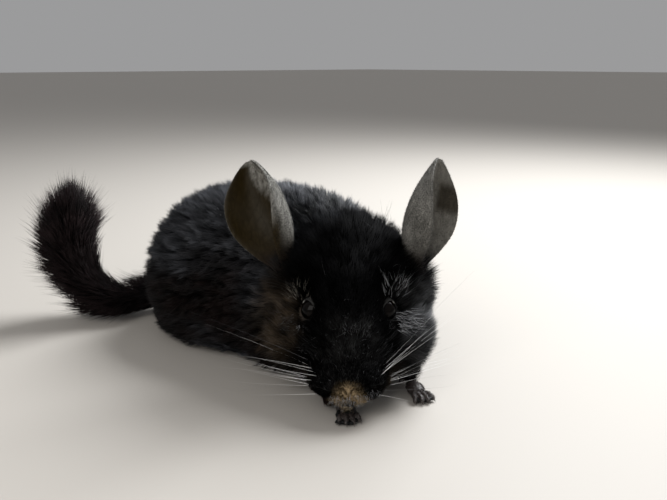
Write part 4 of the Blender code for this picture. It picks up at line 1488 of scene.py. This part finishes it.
def eyeball(name, side):
    across, upward, axis = eye_frame(side)
    centre = np.array(middle_of(name))
    form = bmesh.new()
    from_axis = form.verts.layers.float.new("from_axis")

    def spot_at(angle, turn, distance):
        way = axis * math.cos(angle) + (across * math.cos(turn) + upward * math.sin(turn)) * math.sin(angle)
        return centre + way * distance * CM

    rings = []
    for i in range(1, BALL_ROWS):
        angle = math.pi * i / BALL_ROWS
        distance = EYE_RADIUS + CORNEA_RISE * math.exp(-((angle / 0.55) ** 4))
        rings.append(ring_of(form, BALL_AROUND, lambda turn: spot_at(angle, turn, distance)))
        for vert in rings[-1]:
            vert[from_axis] = math.degrees(angle)
    bridge(form, rings, capped=False)
    for ring, angle, distance in ((rings[0], 0.0, EYE_RADIUS + CORNEA_RISE), (rings[-1], math.pi, EYE_RADIUS)):
        pole = form.verts.new(spot_at(angle, 0, distance))
        pole[from_axis] = math.degrees(angle)
        for k in range(BALL_AROUND):
            form.faces.new((pole, ring[k], ring[(k + 1) % BALL_AROUND]))
    bmesh.ops.recalc_face_normals(form, faces=form.faces)
    ball = link(name.replace("eye", "eyeball"), mesh_from(form, name))
    ball.data.shade_smooth()
    return ball


eye_material, tree, shader = new_material("wet_eye", 0.03, 0.10)
from_axis = attribute(tree, "from_axis", "Fac")
colours = add(tree, "ShaderNodeValToRGB", {0: maths(tree, "DIVIDE", from_axis, 90.0)})
stops = colours.color_ramp.elements
stops.remove(stops[1])
for place, colour in EYE_STOPS:
    stop = stops[0] if place == 0 else stops.new(place)
    stop.color = (*colour, 1)
rays = object_noise(tree, 2600.0, 2.0)
rayed = vectors(tree, "SCALE", colours.outputs[0], maths(tree, "MULTIPLY_ADD", rays, 1.4, 0.3))
tree.links.new(rayed, shader.inputs["Base Color"])
tree.links.new(maths(tree, "MULTIPLY_ADD", rays, 0.04, 0.03), shader.inputs["Roughness"])
for name, side in (("eye_left", 1), ("eye_right", -1)):
    ball = eyeball(name, side)
    ball.data.materials.append(eye_material)
    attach(ball, "root")
    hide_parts(name)
print("eyes:", len(ball.data.polygons), "faces each")

# %% [markdown]
# ## Claws
# Each toe ends in a short blunt claw, smaller in front. It is a tapering form from rings of points, set at
# the place where the toe ends. Horn is paler in bands, which a fine noise gives.

# %% Claws of all four feet
CLAW_AROUND, CLAW_RINGS = 8, 5
CLAW_HEIGHT, CLAW_DROP = 0.145, 0.10
CLAW_BEHIND_TIP = 0.35
HORN_DARK, HORN_PALE = (0.030, 0.024, 0.020, 1), (0.14, 0.12, 0.10, 1)
claws = bmesh.new()
for name, (_, _, _, _, toes, _, claw) in FEET.items():
    for i in range(toes):
        tip_x, tip_y, _ = toe_line(name, i)[-1]
        rings = []
        for share in np.linspace(0, 1, CLAW_RINGS):
            radius = claw * 0.26 * (1 - share) ** 0.7 + 0.004
            middle = (tip_x, tip_y - claw * (share - CLAW_BEHIND_TIP), CLAW_HEIGHT - CLAW_DROP * share**2)
            rings.append(ring_of(claws, CLAW_AROUND, lambda angle: placed(*turned(name, (
                middle[0] + math.cos(angle) * radius * 0.7, middle[1], middle[2] + math.sin(angle) * radius)))))
        bridge(claws, rings)
claw_piece = link("claws", mesh_from(claws, "claws"))
claw_piece.data.shade_smooth()
claw_material, tree, shader = new_material("claw_horn", 0.35, 0.5)
banding = object_noise(tree, 900.0, 3.0)
horn = add(tree, "ShaderNodeMix", {"Factor": banding, 6: HORN_DARK, 7: HORN_PALE}, data_type="RGBA")
tree.links.new(horn.outputs[2], shader.inputs["Base Color"])
claw_piece.data.materials.append(claw_material)
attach(claw_piece, "root")
print("claws:", len(claw_piece.data.polygons), "faces")

# %% [markdown]
# ## Whiskers and single hairs
# Long whiskers sweep back from the muzzle. Fine pale hairs stand over and under the eyes and on the nose,
# and a few stray ones on the head. Each is a line of points with its own thickness and colour; one
# tree turns the lines into thin tapering rods.

# %% The tree that makes rods of lines
ROD_SIDES = 4
rods, start, end = new_tree("make_rods", {"Material": "Material"})
strands = add(rods, "GeometryNodeMeshToCurve", {"Mesh": start.outputs["Geometry"]}).outputs[0]
round_section = {"Resolution": ROD_SIDES, "Radius": 1.0}
profile = add(rods, "GeometryNodeCurvePrimitiveCircle", round_section, mode="RADIUS").outputs[0]
profile = keeping(rods, profile, "turn", add(rods, "GeometryNodeSplineParameter").outputs["Factor"], "FLOAT")
sweep = {"Curve": strands, "Profile Curve": profile, "Scale": named(rods, "thick"), "Fill Caps": True}
solid = add(rods, "GeometryNodeCurveToMesh", sweep).outputs[0]
patch = add(rods, "ShaderNodeCombineXYZ", {"X": named(rods, "turn"), "Y": named(rods, "along")}).outputs[0]
finish_tree(rods, solid, patch, ("turn", "thick"), end, start.outputs["Material"])
print("rod tree:", len(rods.nodes), "nodes")

# %% Lines of hair
FOCAL_PIXELS = 700.35
PICTURE_MIDDLE = (333.5, 250.0)
POINTS_PER_HAIR = 9
ROOT_DEPTH_SHARE = 0.5
TIP_THINNER, TIP_DARKER = 0.85, 0.55
luck = np.random.default_rng(5)
skin_tree = BVHTree.FromPolygons(points.tolist(), skin_faces)
point_finder = kdtree.KDTree(len(points))
for place, point in enumerate(points):
    point_finder.insert(point, place)
point_finder.balance()
camera_turn = camera.matrix_world.to_3x3()
camera_at = camera.matrix_world.translation
to_viewer = camera_turn @ Vector((0, 0, 1))
picture_up = camera_turn @ Vector((0, 1, 0))


def root_at(x, y):
    """The place on the skin that shows at a place of the photograph's frame, or nothing."""
    ray = camera_turn @ Vector(((x - PICTURE_MIDDLE[0]) / FOCAL_PIXELS, -(y - PICTURE_MIDDLE[1]) / FOCAL_PIXELS, -1))
    spot, normal, face, _ = skin_tree.ray_cast(camera_at, ray.normalized())
    return spot, normal, 0 if face is None else reach[skin_faces[face][0]]


def hair(spot, way, length, bend, thickness, colour):
    """One line of hair: root, way, length and bend in centimetres, thickness in millimetres, colour."""
    return {"root": Vector(spot), "way": Vector(way).normalized(), "length": length, "bend": Vector(bend),
            "thick": thickness / 2000, "tint": colour}


def seen_way(right, up, near):
    return rightward * right + picture_up * up + to_viewer * near


def sprinkle(count, x_range, y_range, way, length, thickness, colour, looseness=0.35, curl=0.12, fan=0.0):
    """Hairs with roots in a patch of the picture; a fan turns them outward from its middle."""
    found = []
    for _ in range(count):
        place, level = luck.uniform(-1, 1), luck.uniform(*y_range)
        across = (x_range[0] + x_range[1]) / 2 + place * (x_range[1] - x_range[0]) / 2
        spot, normal, depth_here = root_at(across, level)
        shift = Vector(luck.uniform(-1, 1, 3)) * looseness
        bend = Vector(luck.uniform(-1, 1, 3)) * curl
        size = luck.uniform(*length)
        if spot is not None:
            root = spot + normal * (ROOT_DEPTH_SHARE * depth_here)
            found.append(hair(root, seen_way(way[0] + fan * place, *way[1:]) + shift, size, bend, thickness, colour))
    return found


def line_mesh(name, hairs):
    """All the lines as one mesh of edges, with thickness, colour and map place at each point."""
    steps = np.linspace(0, 1, POINTS_PER_HAIR)
    verts, links, thick, colours, places = [], [], [], [], []
    for one in hairs:
        first = len(verts)
        flat = flat_of_point[point_finder.find(one["root"])[1]]
        for s in steps:
            spot = one["root"] + (one["way"] * s + one["bend"] * s**2) * one["length"] * CM
            spot.z = max(spot.z, 2 * one["thick"])
            verts.append(spot)
            thick.append(one["thick"] * (1 - TIP_THINNER * s))
            colours.append(one["tint"])
            places.append((*flat, 0))
        links += [(first + k, first + k + 1) for k in range(POINTS_PER_HAIR - 1)]
    mesh = bpy.data.meshes.new(name)
    mesh.from_pydata(verts, links, [])
    store(mesh, "thick", thick, "FLOAT")
    store(mesh, "tint", with_alpha(np.array(colours)), "FLOAT_COLOR")
    store(mesh, "root_place", places, "FLOAT_VECTOR")
    # A whisker is brightest at its root, unlike the hair of the coat
    store(mesh, "along", np.tile(1 - TIP_DARKER * steps, len(hairs)), "FLOAT")
    store(mesh, "shade", np.full(len(verts), 0.5), "FLOAT")
    return mesh


print("camera to picture:", FOCAL_PIXELS, "pixels")

# %% Whiskers
WHISKER_ROWS, WHISKERS_IN_ROW = 5, 5
WHISKER_KEPT, WHISKER_PALE = 0.68, 0.8
WHISKER_WHITE = (0.95, 0.95, 0.95)
GREY = (0.16, 0.16, 0.17)
# On each side: how far the whiskers sweep back, how steeply the top row rises, and the step between rows
WHISKER_FANS = {-1: (0.30, 0.09, 0.13), 1: (0.62, 0.50, 0.22)}
# Roots in the head frame, in centimetres: the first one, and the steps to the next in a row and to the next row
FIRST_ROOT, STEP_BACK, STEP_DOWN = (-2.9, -1.7), 0.25, 0.27
BESIDE_CHEEK = 3.5


def whiskers():
    """Fans of whiskers on each side of the muzzle: to the sides, a little back, and drooping at their ends."""
    found = []
    head_axes = HEAD.to_3x3()
    for side, (sweep, top, step) in WHISKER_FANS.items():
        for row in range(WHISKER_ROWS):
            for place in range(WHISKERS_IN_ROW):
                along, height = FIRST_ROOT[0] + STEP_BACK * place, FIRST_ROOT[1] - STEP_DOWN * row
                start_at = in_head(side * BESIDE_CHEEK, along, height)
                hit = skin_tree.ray_cast(start_at, head_axes @ Vector((-side, 0, 0)))[0]
                length = luck.uniform(3.0, 4.6) + 0.75 * place
                back = sweep + 0.05 * place + luck.uniform(-0.12, 0.12)
                rise = top - step * row + luck.uniform(-0.26, 0.26)
                bend = head_axes @ Vector((0, 0.08, luck.uniform(-0.16, 0.02)))
                if hit is not None and luck.uniform() < WHISKER_KEPT:
                    thickness = luck.uniform(0.07, 0.14)
                    colour = WHISKER_WHITE if luck.uniform() < WHISKER_PALE else GREY
                    found.append(hair(hit, head_axes @ Vector((side, back, rise)), length, bend, thickness, colour))
    return found


# %% Plant the single hairs
PALE = (0.42, 0.43, 0.45)
WARM_GREY = (0.30, 0.28, 0.24)
BRIDGE_PALE = (0.13, 0.13, 0.135)
NEAR_WHITE = (0.66, 0.67, 0.70)
WISP_BLACK = (0.008, 0.008, 0.009)
# Count, place across and down the picture, way (right, up, near), length, thickness, colour, looseness, curl, fan
PALE_PATCHES = (
    (36, (298, 312), (288, 302), (-0.25, 1.0, 0.5), (0.25, 0.80), 0.055, WARM_GREY, 0.3, 0.3, 0.7),
    (56, (380, 396), (282, 300), (0.20, 1.0, 0.5), (0.25, 0.95), 0.055, PALE, 0.3, 0.3, 0.7),
    (90, (393, 414), (313, 332), (0.9, -0.2, 0.5), (0.30, 0.75), 0.06, NEAR_WHITE, 0.40, 0.25),
    (10, (299, 304), (326, 331), (-0.2, -0.6, 0.8), (0.15, 0.3), 0.07, PALE),
    (6, (386, 391), (322, 328), (0.1, -0.8, 0.4), (0.12, 0.22), 0.05, GREY),
    (26, (286, 300), (316, 334), (-0.9, -0.25, 0.5), (0.3, 0.6), 0.06, GREY, 0.5),
    (60, (343, 369), (326, 338), (0.0, 1.0, 0.5), (0.18, 0.40), 0.05, BRIDGE_PALE, 0.2, 0.08, 0.7),
    (170, (330, 370), (394, 404), (0.0, -0.9, 0.6), (0.15, 0.32), 0.05, PALE, 0.5, 0.2, 0.5),
    (60, (366, 388), (388, 404), (0.5, -0.8, 0.5), (0.2, 0.45), 0.06, GREY, 0.6),
    (6, (318, 398), (214, 300), (0.1, 0.6, 0.5), (0.5, 1.0), 0.05, GREY, 0.9, 0.7),
    (90, (300, 420), (300, 390), (0.1, 0.3, 0.8), (0.15, 0.4), 0.05, GREY, 0.9, 0.9),
)
pale_hairs = [one for patch in PALE_PATCHES for one in sprinkle(*patch)]
dark_wisps = sprinkle(10, (374, 392), (232, 246), (0.05, 1.0, 0.1), (1.0, 1.9), 0.13, WISP_BLACK, 0.2, 0.2)
for name, hairs, material in (
    ("whiskers", whiskers(), pale_material),
    ("pale_hairs", pale_hairs, pale_material),
    ("dark_wisps", dark_wisps, fur_material),
):
    made_by(rods, name, line_mesh(name, hairs), {"Material": material})
